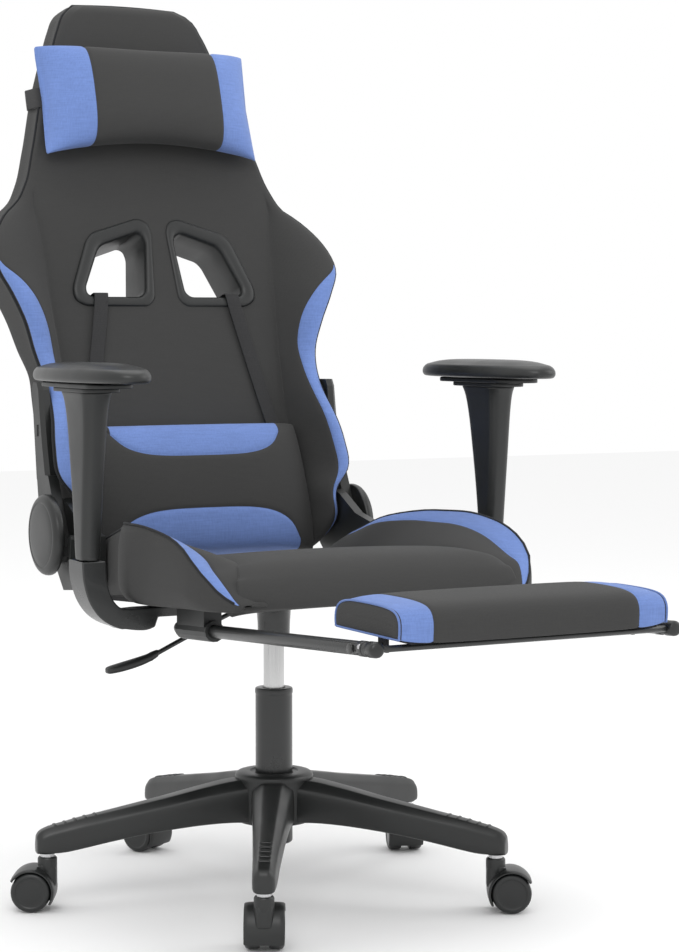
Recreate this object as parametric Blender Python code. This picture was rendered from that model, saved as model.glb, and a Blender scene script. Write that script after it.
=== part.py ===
"""Gaming chair: five-star base on twin-wheel casters, gas lift, bucket seat, reclining
backrest with two pass-through holes, strapped head and lumbar pillows, fixed armrests and
a pull-out footrest. Metres, +Z up, the sitter faces -Y and the sitter's left is +X."""

import math

import bmesh
import bpy
from mathutils import Matrix, Vector

# --- Driving dimensions -------------------------------------------------------------------
GAP = 0.0003  # clearance left between neighbouring solids
COLUMN = Vector((0.008, 0.055, 0.0))  # column axis from the centre of the chair's footprint

BASE_RADIUS = 0.310  # column axis to a caster stem
LEG_COUNT = 5
FIRST_LEG_DEG = -28.6  # front leg, measured from -Y towards +X
LEG_END_BOTTOM = 0.0750
HUB_TOP = 0.168
HUB_BOTTOM = 0.098

WHEEL_RADIUS = 0.0265
WHEEL_SIDES = 24
WHEEL_INNER = 0.0052  # wheel faces, measured along the axle from the middle of the caster
WHEEL_OUTER = 0.0248
CASTER_TRAIL = 0.020
CASTER_YAW_DEG = (62.0, -28.0, 68.0, 118.0, 152.0)  # direction in which the wheels trail
STEM_RADIUS = 0.0055

TUBE_RADIUS = 0.025
TUBE_BOTTOM = 0.070
TUBE_TOP = 0.2805
CYLINDER_RADIUS = 0.014
CYLINDER_BOTTOM = 0.140
CYLINDER_TOP = 0.392
ROD_RADIUS = 0.005

SEAT_SLOPE = 0.0665  # the seat falls this much per metre towards the back
SEAT_UNDER = 0.4045  # underside of the seat at the column
BOARD_THICK = 0.012
BOARD_HALF_WIDTH = 0.190
CUSHION_HALF_WIDTH = 0.165
SEAT_FRONT = -0.312
SEAT_REAR = 0.190

HINGE_Y = 0.222  # recline axis
HINGE_Z = 0.479

BACK_Y = 0.353  # front plane of the backrest's centre panel, at BACK_Z
BACK_Z = 0.796
BACK_LEAN = 0.3077
BACK_THICK = 0.070
REAR_PANEL_THICK = 0.005

RAIL_X = 0.1945
RAIL_RADIUS = 0.008
RAIL_CAP_Y = -0.636
RAIL_CAP_Z = 0.421
RAIL_END_Y = -0.125
PIVOT_Y = -0.598

ARM_X = 0.295
ARM_Y = -0.067
POST_BOTTOM = 0.4723
POST_TOP = 0.6965
PAD_TOP = 0.7215
PAD_X = 0.291
PAD_Y = -0.071
PAD_HALF_WIDTH = 0.046
PAD_HALF_LENGTH = 0.149


# --- Modelling helpers --------------------------------------------------------------------
def clear_scene():
    for item in list(bpy.data.objects):
        bpy.data.objects.remove(item)


def make_material(name, colour, roughness, metallic=0.0):
    material = bpy.data.materials.new(name)
    material.use_nodes = True
    shader = material.node_tree.nodes["Principled BSDF"]
    shader.inputs["Base Color"].default_value = (*colour, 1.0)
    shader.inputs["Roughness"].default_value = roughness
    shader.inputs["Metallic"].default_value = metallic
    return material


def make_axis(name, location, parent=None):
    """An empty on a joint's axis, placed in the column's frame."""
    empty = bpy.data.objects.new(name, None)
    empty.empty_display_size = 0.03
    bpy.context.scene.collection.objects.link(empty)
    empty["place"] = tuple(location)
    if parent is None:
        empty.location = Vector(location)
    else:
        empty.parent = parent
        empty.location = Vector(location) - Vector(parent["place"])
    return empty


def add_piece(name, shape, material, axis):
    """Turns a bmesh in the column's frame into an object whose origin is the joint's axis."""
    bmesh.ops.connect_verts_nonplanar(shape, angle_limit=0.0005, faces=shape.faces)
    bmesh.ops.recalc_face_normals(shape, faces=shape.faces)
    if shape.calc_volume(signed=True) < 0:
        bmesh.ops.reverse_faces(shape, faces=shape.faces)
    bmesh.ops.translate(shape, verts=shape.verts, vec=-Vector(axis["place"]))
    mesh = bpy.data.meshes.new(name)
    shape.to_mesh(mesh)
    shape.free()
    mesh.materials.append(material)
    mesh.shade_smooth()
    mesh.set_sharp_from_angle(angle=math.radians(35))
    piece = bpy.data.objects.new(name, mesh)
    bpy.context.scene.collection.objects.link(piece)
    piece.parent = axis
    return piece


def add_cutter(name, shape, axis):
    cutter = add_piece(name, shape, bpy.data.materials["cutter"], axis)
    cutter.hide_render = True
    cutter.display_type = "WIRE"
    return cutter


def combine(piece, other, operation):
    modifier = piece.modifiers.new(operation.title() + "_" + other.name, "BOOLEAN")
    modifier.operation = operation
    modifier.solver = "EXACT"
    modifier.object = other


def join_piece(piece, shape, axis):
    combine(piece, add_cutter(piece.name + "_addition", shape, axis), "UNION")


def cut_piece(piece, shape, axis):
    combine(piece, add_cutter(piece.name + "_cut", shape, axis), "DIFFERENCE")


def loft(rings, closed=False):
    """Skins a row of rings that have the same number of points, and caps both ends."""
    shape = bmesh.new()
    rows = [[shape.verts.new(point) for point in ring] for ring in rings]
    count = len(rows[0])
    pairs = list(zip(rows, rows[1:]))
    if closed:
        pairs.append((rows[-1], rows[0]))
    for low, high in pairs:
        for i in range(count):
            j = (i + 1) % count
            shape.faces.new((low[i], low[j], high[j], high[i]))
    if not closed:
        shape.faces.new(rows[0][::-1])
        shape.faces.new(rows[-1])
    return shape


def extrude(outline, direction):
    move = Vector(direction)
    return loft([[Vector(p) for p in outline], [Vector(p) + move for p in outline]])


def box(low, high):
    outline = [(low[0], low[1]), (high[0], low[1]), (high[0], high[1]), (low[0], high[1])]
    return extrude([(x, y, low[2]) for x, y in outline], (0, 0, high[2] - low[2]))


def circle(radius, sides):
    step = 2 * math.pi / sides
    return [(radius * math.cos(step * i), radius * math.sin(step * i)) for i in range(sides)]


def rounded_rectangle(half_width, half_depth, corner, steps=2):
    points = []
    for quarter in range(4):
        sx = (1, -1, -1, 1)[quarter]
        sy = (1, 1, -1, -1)[quarter]
        for step in range(steps + 1):
            angle = math.radians(90 * quarter + 90 * step / steps)
            points.append(
                (
                    sx * (half_width - corner) + corner * math.cos(angle),
                    sy * (half_depth - corner) + corner * math.sin(angle),
                )
            )
    return points


def turned(profile, sides, start, direction):
    """A solid of revolution: (radius, distance) points round the line from start."""
    rings = [
        [(x, y, distance) for x, y in circle(max(radius, 1e-6), sides)]
        for radius, distance in profile
    ]
    shape = loft(rings)
    bmesh.ops.remove_doubles(shape, verts=shape.verts, dist=1e-5)
    turn = Vector(direction).to_track_quat("Z", "Y").to_matrix().to_4x4()
    shape.transform(Matrix.Translation(start) @ turn)
    return shape


def bar(start, end, radius, sides=12):
    run = Vector(end) - Vector(start)
    return turned([(radius, 0), (radius, run.length)], sides, start, run)


def mirrored(shape):
    copy = shape.copy()
    copy.transform(Matrix.Scale(-1, 4, (1, 0, 0)))
    return copy


def between(value, table):
    """Straight-line reading of a short table of (position, value...) rows."""
    if value <= table[0][0]:
        return table[0][1:]
    for low, high in zip(table, table[1:]):
        if value <= high[0]:
            t = (value - low[0]) / (high[0] - low[0])
            return tuple(a + (b - a) * t for a, b in zip(low[1:], high[1:]))
    return table[-1][1:]


def seat_under(y):
    return SEAT_UNDER - SEAT_SLOPE * y


def back_plane(z):
    return BACK_Y + BACK_LEAN * (z - BACK_Z)


def rail_height(y):
    return RAIL_CAP_Z - SEAT_SLOPE * (y - RAIL_CAP_Y)


# --- Base and casters ---------------------------------------------------------------------
def leg_ring(distance, half_width, bottom, top, direction):
    """One cross-section of a leg: flat sole, chamfered shoulders and a low ridge."""
    across = Vector((-direction.y, direction.x, 0))
    section = (
        (-half_width + 0.004, bottom),
        (half_width - 0.004, bottom),
        (half_width, bottom + 0.005),
        (half_width, top - 0.010),
        (half_width * 0.45, top),
        (-half_width * 0.45, top),
        (-half_width, top - 0.010),
        (-half_width, bottom + 0.005),
    )
    return [direction * distance + across * side + Vector((0, 0, z)) for side, z in section]


def star_base(parts, axis):
    hub = turned(
        [(0.044, HUB_BOTTOM), (0.052, HUB_BOTTOM + 0.012), (0.052, HUB_TOP - 0.014), (0.044, HUB_TOP)],
        20, (0, 0, 0), (0, 0, 1),
    )
    base = add_piece("star_base", hub, parts["plastic"], axis)
    leg_sections = (
        (0.020, 0.027, 0.102, 0.160),
        (0.060, 0.027, 0.104, 0.158),
        (0.150, 0.022, 0.098, 0.141),
        (0.240, 0.017, 0.084, 0.124),
        (0.296, 0.0155, LEG_END_BOTTOM, 0.112),
        (0.318, 0.0145, LEG_END_BOTTOM, 0.107),
        (0.326, 0.0110, LEG_END_BOTTOM, 0.102),
    )
    for direction in leg_directions():
        rings = [leg_ring(d, w, low, top, direction) for d, w, low, top in leg_sections]
        join_piece(base, loft(rings), axis)
    bore = TUBE_RADIUS + GAP
    cut_piece(base, turned([(bore, 0.05), (bore, 0.25)], 20, (0, 0, 0), (0, 0, 1)), axis)
    for direction in leg_directions():
        stem = [(STEM_RADIUS + GAP, 0), (STEM_RADIUS + GAP, 0.0303)]
        foot = direction * BASE_RADIUS + Vector((0, 0, 0.070))
        cut_piece(base, turned(stem, 12, foot, (0, 0, 1)), axis)


def leg_directions():
    for leg in range(LEG_COUNT):
        angle = math.radians(FIRST_LEG_DEG + 360 / LEG_COUNT * leg)
        yield Vector((math.sin(angle), -math.cos(angle), 0))


def caster_hood(name, place, turn, parts, axis):
    """The swivelling fork: a boss, a web between the wheels and a curved guard over them."""
    wheel_z = WHEEL_RADIUS * math.cos(math.pi / WHEEL_SIDES)
    centre = Vector((CASTER_TRAIL, 0, wheel_z))
    angles = [math.radians(a) for a in range(212, 31, -20)]
    inner, outer = WHEEL_RADIUS + 0.0014, WHEEL_RADIUS + 0.0042
    guard = [centre + Vector((outer * math.cos(a), 0, outer * math.sin(a))) for a in angles]
    guard += [centre + Vector((inner * math.cos(a), 0, inner * math.sin(a))) for a in reversed(angles)]
    move = Matrix.Translation(place) @ turn

    def placed(shape):
        shape.transform(move)
        return shape

    width = 2 * WHEEL_OUTER + 0.001
    outline = [point + Vector((0, -width / 2, 0)) for point in guard]
    hood = add_piece(name, placed(extrude(outline, (0, width, 0))), parts["plastic"], axis)
    web_half = WHEEL_INNER - 0.0006
    reach = outer - 0.001
    web = [centre + Vector((reach * math.cos(a), -web_half, reach * math.sin(a))) for a in angles]
    hub = 0.0085
    for degrees in range(10, -141, -30):
        a = math.radians(degrees)
        web.append(centre + Vector((hub * math.cos(a), -web_half, hub * math.sin(a))))
    join_piece(hood, placed(extrude(web, (0, 2 * web_half, 0))), axis)
    neck = box((-0.0085, -web_half, 0.044), (0.012, web_half, 0.056))
    join_piece(hood, placed(neck), axis)
    boss = turned([(0.0100, 0.0520), (0.0100, 0.0702)], 14, (0, 0, 0), (0, 0, 1))
    join_piece(hood, placed(boss), axis)
    stub = bar(centre + Vector((0, -0.0195, 0)), centre + Vector((0, 0.0195, 0)), 0.004)
    join_piece(hood, placed(stub), axis)
    socket = turned([(STEM_RADIUS + GAP, 0.0547), (STEM_RADIUS + GAP, 0.080)], 12, (0, 0, 0), (0, 0, 1))
    cut_piece(hood, placed(socket), axis)


def caster_stem(name, place, parts, axis):
    profile = (
        (STEM_RADIUS, 0.0550),
        (STEM_RADIUS, 0.0705),
        (0.0095, 0.0705),
        (0.0095, LEG_END_BOTTOM - GAP),
        (STEM_RADIUS, LEG_END_BOTTOM - GAP),
        (STEM_RADIUS, 0.1000),
    )
    add_piece(name, turned(profile, 12, place, (0, 0, 1)), parts["steel"], axis)


def caster_wheel(name, place, turn, side, parts, axis):
    """One wheel of a twin: a tread with a closed, dished outer face and a blind bore."""
    profile = (
        (0.0043, WHEEL_INNER + 0.0150),
        (0.0043, WHEEL_INNER),
        (WHEEL_RADIUS - 0.0015, WHEEL_INNER),
        (WHEEL_RADIUS, WHEEL_INNER + 0.0015),
        (WHEEL_RADIUS, WHEEL_OUTER - 0.0035),
        (WHEEL_RADIUS - 0.0030, WHEEL_OUTER),
        (0.0190, WHEEL_OUTER),
        (0.0175, WHEEL_OUTER - 0.0012),
        (0.0, WHEEL_OUTER - 0.0012),
    )
    flat = math.pi / WHEEL_SIDES
    shape = turned(profile, WHEEL_SIDES, (0, 0, 0), (0, 0, 1))
    shape.transform(Matrix.Rotation(flat, 4, "Z"))
    shape.transform(Matrix.Rotation(math.radians(-90 * side), 4, "X"))
    shape.transform(Matrix.Translation((CASTER_TRAIL, 0, WHEEL_RADIUS * math.cos(flat))))
    shape.transform(Matrix.Translation(place) @ turn)
    add_piece(name, shape, parts["wheel"], axis)


def casters(parts, origin):
    for number, direction in enumerate(leg_directions(), start=1):
        place = direction * BASE_RADIUS
        yaw = math.radians(CASTER_YAW_DEG[number - 1])
        turn = Matrix.Rotation(yaw, 4, "Z")
        swivel = make_axis(f"caster_swivel_{number}", place, origin)
        caster_stem(f"caster_stem_{number}", place, parts, swivel)
        caster_hood(f"caster_hood_{number}", place, turn, parts, swivel)
        offset = turn @ Vector((CASTER_TRAIL, 0, WHEEL_RADIUS * math.cos(math.pi / WHEEL_SIDES)))
        axle = make_axis(f"caster_axle_{number}", place + offset, swivel)
        caster_wheel(f"caster_wheel_{number}a", place, turn, 1, parts, axle)
        caster_wheel(f"caster_wheel_{number}b", place, turn, -1, parts, axle)


# --- Gas lift and seat structure ----------------------------------------------------------
def gas_lift(parts, origin, swivel, seat):
    bore = CYLINDER_RADIUS + 0.0005
    tube = (
        (0.0, TUBE_BOTTOM),
        (TUBE_RADIUS, TUBE_BOTTOM),
        (TUBE_RADIUS, TUBE_TOP),
        (bore, TUBE_TOP),
        (bore, TUBE_BOTTOM + 0.007),
        (0.0, TUBE_BOTTOM + 0.007),
    )
    add_piece("gas_tube", turned(tube, 20, (0, 0, 0), (0, 0, 1)), parts["painted"], origin)
    rod = [(ROD_RADIUS, TUBE_BOTTOM + 0.0073), (ROD_RADIUS, 0.260)]
    add_piece("gas_rod", turned(rod, 12, (0, 0, 0), (0, 0, 1)), parts["steel"], swivel)
    rod_bore = ROD_RADIUS + 0.0005
    cylinder = (
        (rod_bore, CYLINDER_BOTTOM),
        (CYLINDER_RADIUS, CYLINDER_BOTTOM),
        (CYLINDER_RADIUS, CYLINDER_TOP),
        (0.0, CYLINDER_TOP),
    )
    hollow = ((0.0, 0.330), (rod_bore, 0.330))
    shape = turned(hollow + cylinder, 20, (0, 0, 0), (0, 0, 1))
    add_piece("gas_cylinder", shape, parts["chrome"], seat)


def tilted_slab(x0, x1, y0, y1, under, over):
    """A block whose top and bottom run parallel to the seat's underside."""
    low = [(x, y, seat_under(y) + under) for x, y in ((x0, y0), (x1, y0), (x1, y1), (x0, y1))]
    high = [(x, y, seat_under(y) + over) for x, y in ((x0, y0), (x1, y0), (x1, y1), (x0, y1))]
    return loft([low, high])


def seat_mechanism(parts, seat):
    plate = tilted_slab(-0.095, 0.095, -0.115, 0.125, -0.0055, -GAP)
    piece = add_piece("seat_mechanism", plate, parts["painted"], seat)
    low = [(x, y, 0.370) for x, y in rounded_rectangle(0.045, 0.070, 0.012)]
    high = [(x, y, seat_under(y) - 0.004) for x, y in rounded_rectangle(0.058, 0.095, 0.012)]
    join_piece(piece, loft([low, high]), seat)
    socket = turned([(0.0215, 0.346), (0.0235, 0.353), (0.0235, 0.380)], 20, (0, 0, 0), (0, 0, 1))
    join_piece(piece, socket, seat)
    bore = CYLINDER_RADIUS + GAP
    cut_piece(piece, turned([(bore, 0.30), (bore, CYLINDER_TOP + GAP)], 20, (0, 0, 0), (0, 0, 1)), seat)


def height_lever(parts, lever):
    rod = bar((-0.0575, 0, 0.3870), (-0.1705, 0, 0.3375), 0.003, 10)
    add_piece("lever_rod", rod, parts["painted"], lever)
    stations = ((-0.1726, 0.3366, 0.005, 0.0045), (-0.190, 0.330, 0.007, 0.006),
                (-0.220, 0.3225, 0.009, 0.006), (-0.243, 0.319, 0.008, 0.005))
    rings = [
        [(x, side, z + up) for side, up in rounded_rectangle(width, height, 0.6 * height)]
        for x, z, width, height in stations
    ]
    add_piece("lever_grip", loft(rings), parts["plastic"], lever)


SEAT_TOP = (
    # y, top of the centre cushion
    (SEAT_FRONT, 0.452), (-0.304, 0.468), (-0.285, 0.479), (-0.250, 0.4835), (-0.180, 0.4830),
    (-0.080, 0.4730), (0.020, 0.4610), (0.100, 0.4515), (0.160, 0.4430), (0.180, 0.4390),
    (SEAT_REAR, 0.4310),
)
BOLSTER = (
    # y, outer half-width, ridge half-width, ridge height
    (SEAT_FRONT, 0.2030, 0.2000, 0.436), (-0.296, 0.219, 0.2170, 0.452), (-0.282, 0.229, 0.2265, 0.468),
    (-0.258, 0.237, 0.2330, 0.486), (-0.210, 0.243, 0.2370, 0.505), (-0.160, 0.247, 0.2380, 0.5140),
    (-0.110, 0.248, 0.2380, 0.5180), (-0.060, 0.243, 0.2320, 0.5165), (-0.020, 0.236, 0.2240, 0.5120),
    (0.045, 0.2040, 0.1970, 0.500), (0.110, 0.2035, 0.1960, 0.480), (0.160, 0.2030, 0.1960, 0.462),
    (SEAT_REAR, 0.2025, 0.1950, 0.445),
)
BOARD_FRONT = -0.285


def seat_stations():
    ys = [row[0] for row in SEAT_TOP] + [row[0] for row in BOLSTER]
    ys += [BOARD_FRONT - 2 * GAP, BOARD_FRONT - GAP]
    return sorted(set(ys) - {BOARD_FRONT})


def seat_floor(y):
    """Underside of the padding: over the board, and down to its underside in front of it."""
    lift = 0.0 if y < BOARD_FRONT - 1.5 * GAP else BOARD_THICK + GAP
    return seat_under(y) + lift


def seat(parts, seat_axis):
    outline = ((-BOARD_HALF_WIDTH, BOARD_FRONT), (BOARD_HALF_WIDTH, BOARD_FRONT),
               (BOARD_HALF_WIDTH, 0.184), (-BOARD_HALF_WIDTH, 0.184))
    low = [(x, y, seat_under(y)) for x, y in outline]
    high = [(x, y, seat_under(y) + BOARD_THICK) for x, y in outline]
    add_piece("seat_board", loft([low, high]), parts["wood"], seat_axis)

    half = CUSHION_HALF_WIDTH
    rings = []
    for y in seat_stations():
        (top,) = between(y, SEAT_TOP)
        floor = seat_floor(y)
        section = ((-half, floor), (half, floor), (half, top - 0.010), (half - 0.03, top - 0.002),
                   (0, top), (-half + 0.03, top - 0.002), (-half, top - 0.010))
        rings.append([(x, y, z) for x, z in section])
    add_piece("seat_cushion", loft(rings), parts["dark_fabric"], seat_axis)

    rings = []
    for y in seat_stations():
        wide, ridge_x, ridge_z = between(y, BOLSTER)
        (top,) = between(y, SEAT_TOP)
        inner = half + GAP
        under = seat_under(y)
        floor = seat_floor(y)
        step = BOARD_HALF_WIDTH + GAP
        section = (
            (inner, floor), (step, floor), (step, under), (wide - 0.004, under),
            (wide, under + 0.009), (wide, ridge_z - 0.014), (ridge_x, ridge_z),
            (0.4 * ridge_x + 0.6 * inner, 0.7 * ridge_z + 0.3 * top), (inner, top - 0.008),
        )
        rings.append([(x, y, z) for x, z in section])
    bolster = loft(rings)
    add_piece("seat_bolster_right", mirrored(bolster), parts["dark_fabric"], seat_axis)
    add_piece("seat_bolster_left", bolster, parts["dark_fabric"], seat_axis)


# --- Armrests -----------------------------------------------------------------------------
def arm_bracket():
    """The L-shaped bracket in the XZ plane, sheared to follow the seat's slope."""
    outline = (
        (0.3115, 0.472), (0.309, 0.445), (0.300, 0.418), (0.283, 0.397), (0.258, 0.3845), (0.228, 0.380),
        (0.2125, 0.3835), (0.2080, 0.3960), (0.150, 0.3960), (0.150, 0.4085), (0.252, 0.4085),
        (0.268, 0.420), (0.277, 0.442), (0.2795, 0.472),
    )
    depth = 0.048
    shape = extrude([(x, ARM_Y - depth / 2, z) for x, z in outline], (0, depth, 0))
    for vertex in shape.verts:
        if vertex.co.x < 0.2535 and vertex.co.z < 0.42:
            vertex.co.z -= SEAT_SLOPE * (vertex.co.y - ARM_Y)
    return shape


def arm_post():
    """Tapers downwards, more at the rear than at the front."""
    stations = (
        # z, half-width, half-depth, shift forwards, shift outwards
        (POST_BOTTOM, 0.0130, 0.0180, 0.0060, 0.0020), (0.514, 0.0135, 0.0206, 0.0060, 0.0020),
        (0.569, 0.0145, 0.0270, 0.0055, 0.0015), (0.610, 0.0152, 0.0325, 0.0045, 0.0010),
        (0.652, 0.0165, 0.0375, 0.0030, 0.0005), (0.6850, 0.0200, 0.0460, 0.0010, 0.0),
        (0.6900, 0.0250, 0.0640, 0.0, 0.0), (POST_TOP, 0.0300, 0.0900, 0.0, 0.0),
    )
    rings = []
    for z, half_width, half_depth, forward, outward in stations:
        ring = rounded_rectangle(half_width, half_depth, 0.6 * half_width)
        rings.append([(ARM_X + outward + x, ARM_Y - forward + y, z) for x, y in ring])
    return loft(rings)


def oval(half_width, half_depth, sides):
    """A rounded outline, fuller than an ellipse."""
    points = []
    for x, y in circle(1.0, sides):
        full_x = math.copysign(abs(x) ** 0.85, x)
        full_y = math.copysign(abs(y) ** 0.85, y)
        points.append((half_width * full_x, half_depth * full_y))
    return points


def arm_pad():
    stations = ((POST_TOP + GAP, 0.92), (POST_TOP + 0.006, 1.0), (PAD_TOP - 0.006, 1.0), (PAD_TOP, 0.86))
    rings = []
    for z, scale in stations:
        ring = oval(PAD_HALF_WIDTH, PAD_HALF_LENGTH, 28)
        rings.append([(PAD_X + x * scale, PAD_Y + y * (1 - 0.5 * (1 - scale)), z) for x, y in ring])
    return loft(rings)


def armrests(parts, seat_axis):
    for shape, name, material in (
        (arm_bracket(), "arm_bracket", "painted"),
        (arm_post(), "arm_post", "plastic"),
        (arm_pad(), "arm_pad", "plastic"),
    ):
        add_piece(name + "_right", mirrored(shape), parts[material], seat_axis)
        add_piece(name + "_left", shape, parts[material], seat_axis)


# --- Recliner -----------------------------------------------------------------------------
LOWER_COVER_INNER = 0.2050
LOWER_COVER_OUTER = 0.2180
UPPER_COVER_OUTER = 0.2330
PIN_RADIUS = 0.008


def arc(centre_y, centre_z, radius, start, end, steps):
    for step in range(steps + 1):
        angle = math.radians(start + (end - start) * step / steps)
        yield (centre_y + radius * math.cos(angle), centre_z + radius * math.sin(angle))


def lower_cover():
    """Side cover fixed to the seat: a disc round the hinge that runs forward along the seat."""
    outline = list(arc(HINGE_Y, HINGE_Z, 0.050, -60, 118, 8))
    outline += [(0.150, 0.498), (0.092, 0.486), (0.088, 0.430), (0.096, 0.414), (0.215, 0.402)]
    thick = LOWER_COVER_OUTER - LOWER_COVER_INNER
    return extrude([(LOWER_COVER_INNER, y, z) for y, z in outline], (thick, 0, 0))


def upper_cover_root():
    """The part of the backrest's side cover that lies over the hinge."""
    inner = LOWER_COVER_OUTER + GAP
    outline = list(arc(HINGE_Y, HINGE_Z, 0.040, -160, -20, 6))
    outline += [(0.276, 0.560), (0.232, 0.560)]
    return extrude([(inner, y, z) for y, z in outline], (UPPER_COVER_OUTER - inner, 0, 0))


def upper_cover_arm():
    """The upright box of the same cover, beside the backrest."""
    stations = (
        # z, inner face, front, rear
        (0.553, 0.2068, 0.236, 0.282), (0.600, 0.2072, 0.248, 0.288), (0.640, 0.2175, 0.256, 0.293),
        (0.678, 0.2185, 0.262, 0.299), (0.688, 0.2185, 0.268, 0.293),
    )
    rings = [
        [(inner, front, z), (0.2275, front, z), (UPPER_COVER_OUTER, front + 0.006, z),
         (UPPER_COVER_OUTER, rear - 0.006, z), (0.227, rear, z), (inner, rear, z)]
        for z, inner, front, rear in stations
    ]
    return loft(rings)


def hinge_hub():
    profile = (
        (PIN_RADIUS, LOWER_COVER_INNER - GAP), (PIN_RADIUS, UPPER_COVER_OUTER + GAP),
        (0.0550, UPPER_COVER_OUTER + GAP),
        (0.0560, 0.2400), (0.0520, 0.2470), (0.0300, 0.2500), (0.0, 0.2505),
    )
    return turned(profile, 24, (0, HINGE_Y, HINGE_Z), (1, 0, 0))


def recliner(parts, seat_axis, back_axis):
    hole = bar((0.19, HINGE_Y, HINGE_Z), (0.25, HINGE_Y, HINGE_Z), PIN_RADIUS + GAP, 12)
    for side in ("right", "left"):
        flip = mirrored if side == "right" else bmesh.types.BMesh.copy
        cover = add_piece("recliner_lower_cover_" + side, flip(lower_cover()), parts["plastic"], seat_axis)
        cut_piece(cover, flip(hole), seat_axis)
        shape = flip(upper_cover_root())
        cover = add_piece("recliner_upper_cover_" + side, shape, parts["plastic"], back_axis)
        join_piece(cover, flip(upper_cover_arm()), back_axis)
        cut_piece(cover, flip(hole), back_axis)
        add_piece("recliner_hub_" + side, flip(hinge_hub()), parts["plastic"], seat_axis)
    hole.free()


LEVER_Y = 0.160  # pivot of the recline release, on the sitter's right
LEVER_Z = 0.476


def recline_lever(parts, axis):
    outline = list(arc(LEVER_Y, LEVER_Z, 0.007, 10, 170, 4))
    outline += [(LEVER_Y - 0.003, 0.448), (LEVER_Y + 0.002, 0.448)]
    outer = -(LOWER_COVER_OUTER + GAP)
    shape = extrude([(outer, y, z) for y, z in outline], (-0.012, 0, 0))
    add_piece("recline_lever", shape, parts["plastic"], axis)


# --- Backrest -----------------------------------------------------------------------------
BACKREST = (
    # z, half-width at the front lip, lip forward of the centre panel, side wall, centre panel
    (0.449, 0.172, 0.000, 0.169, 0.140),
    (0.462, 0.190, 0.026, 0.188, 0.160),
    (0.485, 0.2030, 0.062, 0.2025, 0.167),
    (0.534, 0.2035, 0.076, 0.2030, 0.170),
    (0.556, 0.2235, 0.080, 0.2045, 0.170),
    (0.600, 0.2260, 0.078, 0.2055, 0.172),
    (0.640, 0.2200, 0.070, 0.2055, 0.172),
    (0.665, 0.2160, 0.056, 0.2050, 0.172),
    (0.692, 0.2160, 0.042, 0.2058, 0.173),
    (0.730, 0.2220, 0.030, 0.2190, 0.174),
    (0.775, 0.2350, 0.044, 0.2320, 0.176),
    (0.815, 0.2530, 0.052, 0.2490, 0.178),
    (0.850, 0.2680, 0.048, 0.2640, 0.181),
    (0.880, 0.2640, 0.038, 0.2600, 0.183),
    (0.908, 0.2490, 0.023, 0.2450, 0.186),
    (0.928, 0.2310, 0.011, 0.2280, 0.185),
    (0.942, 0.2130, 0.004, 0.2110, 0.176),
    (0.967, 0.1965, 0.000, 0.1965, 0.164),
    (1.020, 0.1780, 0.000, 0.1780, 0.150),
    (1.100, 0.1550, 0.000, 0.1550, 0.130),
    (1.171, 0.1290, 0.000, 0.1290, 0.106),
    (1.206, 0.1150, 0.000, 0.1150, 0.092),
    (1.232, 0.1000, -0.004, 0.1000, 0.078),
    (1.246, 0.0820, -0.012, 0.0820, 0.064),
)
HOLE_OUTER = ((0.0105, 0.905), (0.016, 0.919), (0.031, 0.925), (0.106, 0.902), (0.117, 0.890),
              (0.146, 0.820), (0.144, 0.803), (0.128, 0.794), (0.029, 0.793), (0.0175, 0.804))
HOLE_INNER = ((0.0235, 0.886), (0.027, 0.898), (0.036, 0.902), (0.090, 0.884), (0.098, 0.876),
              (0.123, 0.822), (0.122, 0.813), (0.113, 0.809), (0.041, 0.809), (0.0325, 0.816))
LEAN = Vector((0, -1, BACK_LEAN)).normalized()  # out of the backrest's front plane


def back_point(x, z, proud):
    """A point at height z on the backrest's front plane, moved out of it along its normal."""
    return Vector((x, back_plane(z), z)) + LEAN * proud


def back_section(z, lip, proud, side, centre):
    """Half of a level slice through the backrest, from the middle front to its rear corner."""
    front = back_plane(z)
    thick = BACK_THICK if z < 1.2 else BACK_THICK - 0.55 * (z - 1.2)
    rear = front + thick
    edge = 0.014
    crown = 0.003
    return (
        (0.0, front - crown), (0.6 * centre, front - 0.7 * crown), (centre, front - 0.02 * proud),
        (centre + 0.5 * (lip - centre), front - 0.62 * proud + 0.001), (lip - 0.008, front - proud + 0.003),
        (lip, front - proud + 0.011), (side - 0.001, front - proud + 0.024), (side - 0.002, rear - edge),
        (side - 0.016, rear),
    )


def backrest_cushion(parts, axis):
    rings = []
    for row in BACKREST:
        half = back_section(*row)
        ring = [(x, y, row[0]) for x, y in half]
        ring += [(-x, y, row[0]) for x, y in reversed(half[1:])]
        rings.append(ring)
    cushion = add_piece("backrest_cushion", loft(rings), parts["dark_fabric"], axis)
    for side in (1, -1):
        cut_piece(cushion, through_back(HOLE_OUTER, side, 0.05, -0.13, GAP), axis)


def widened(outline, margin):
    """Moves each corner of an outline away from its middle."""
    middle = Vector((sum(p[0] for p in outline), sum(p[1] for p in outline))) / len(outline)
    return [Vector(p) + (Vector(p) - middle).normalized() * margin for p in outline]


def through_back(outline, side, front, rear, margin=0.0):
    points = [back_point(side * x, z, front) for x, z in widened(outline, margin)]
    return extrude(points, LEAN * (rear - front))


def hole_trim(side):
    """A rounded frame that lines one of the two holes from front to rear."""
    rings = []
    for outline, proud, margin in (
        (HOLE_OUTER, 0.0020, 0.0), (HOLE_OUTER, 0.0055, -0.004), (HOLE_INNER, 0.0055, 0.003),
        (HOLE_INNER, 0.0020, 0.0), (HOLE_INNER, -0.0740, 0.0), (HOLE_OUTER, -0.0740, 0.0),
    ):
        rings.append([back_point(side * x, z, proud) for x, z in widened(outline, margin)])
    return loft(rings, closed=True)


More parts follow.
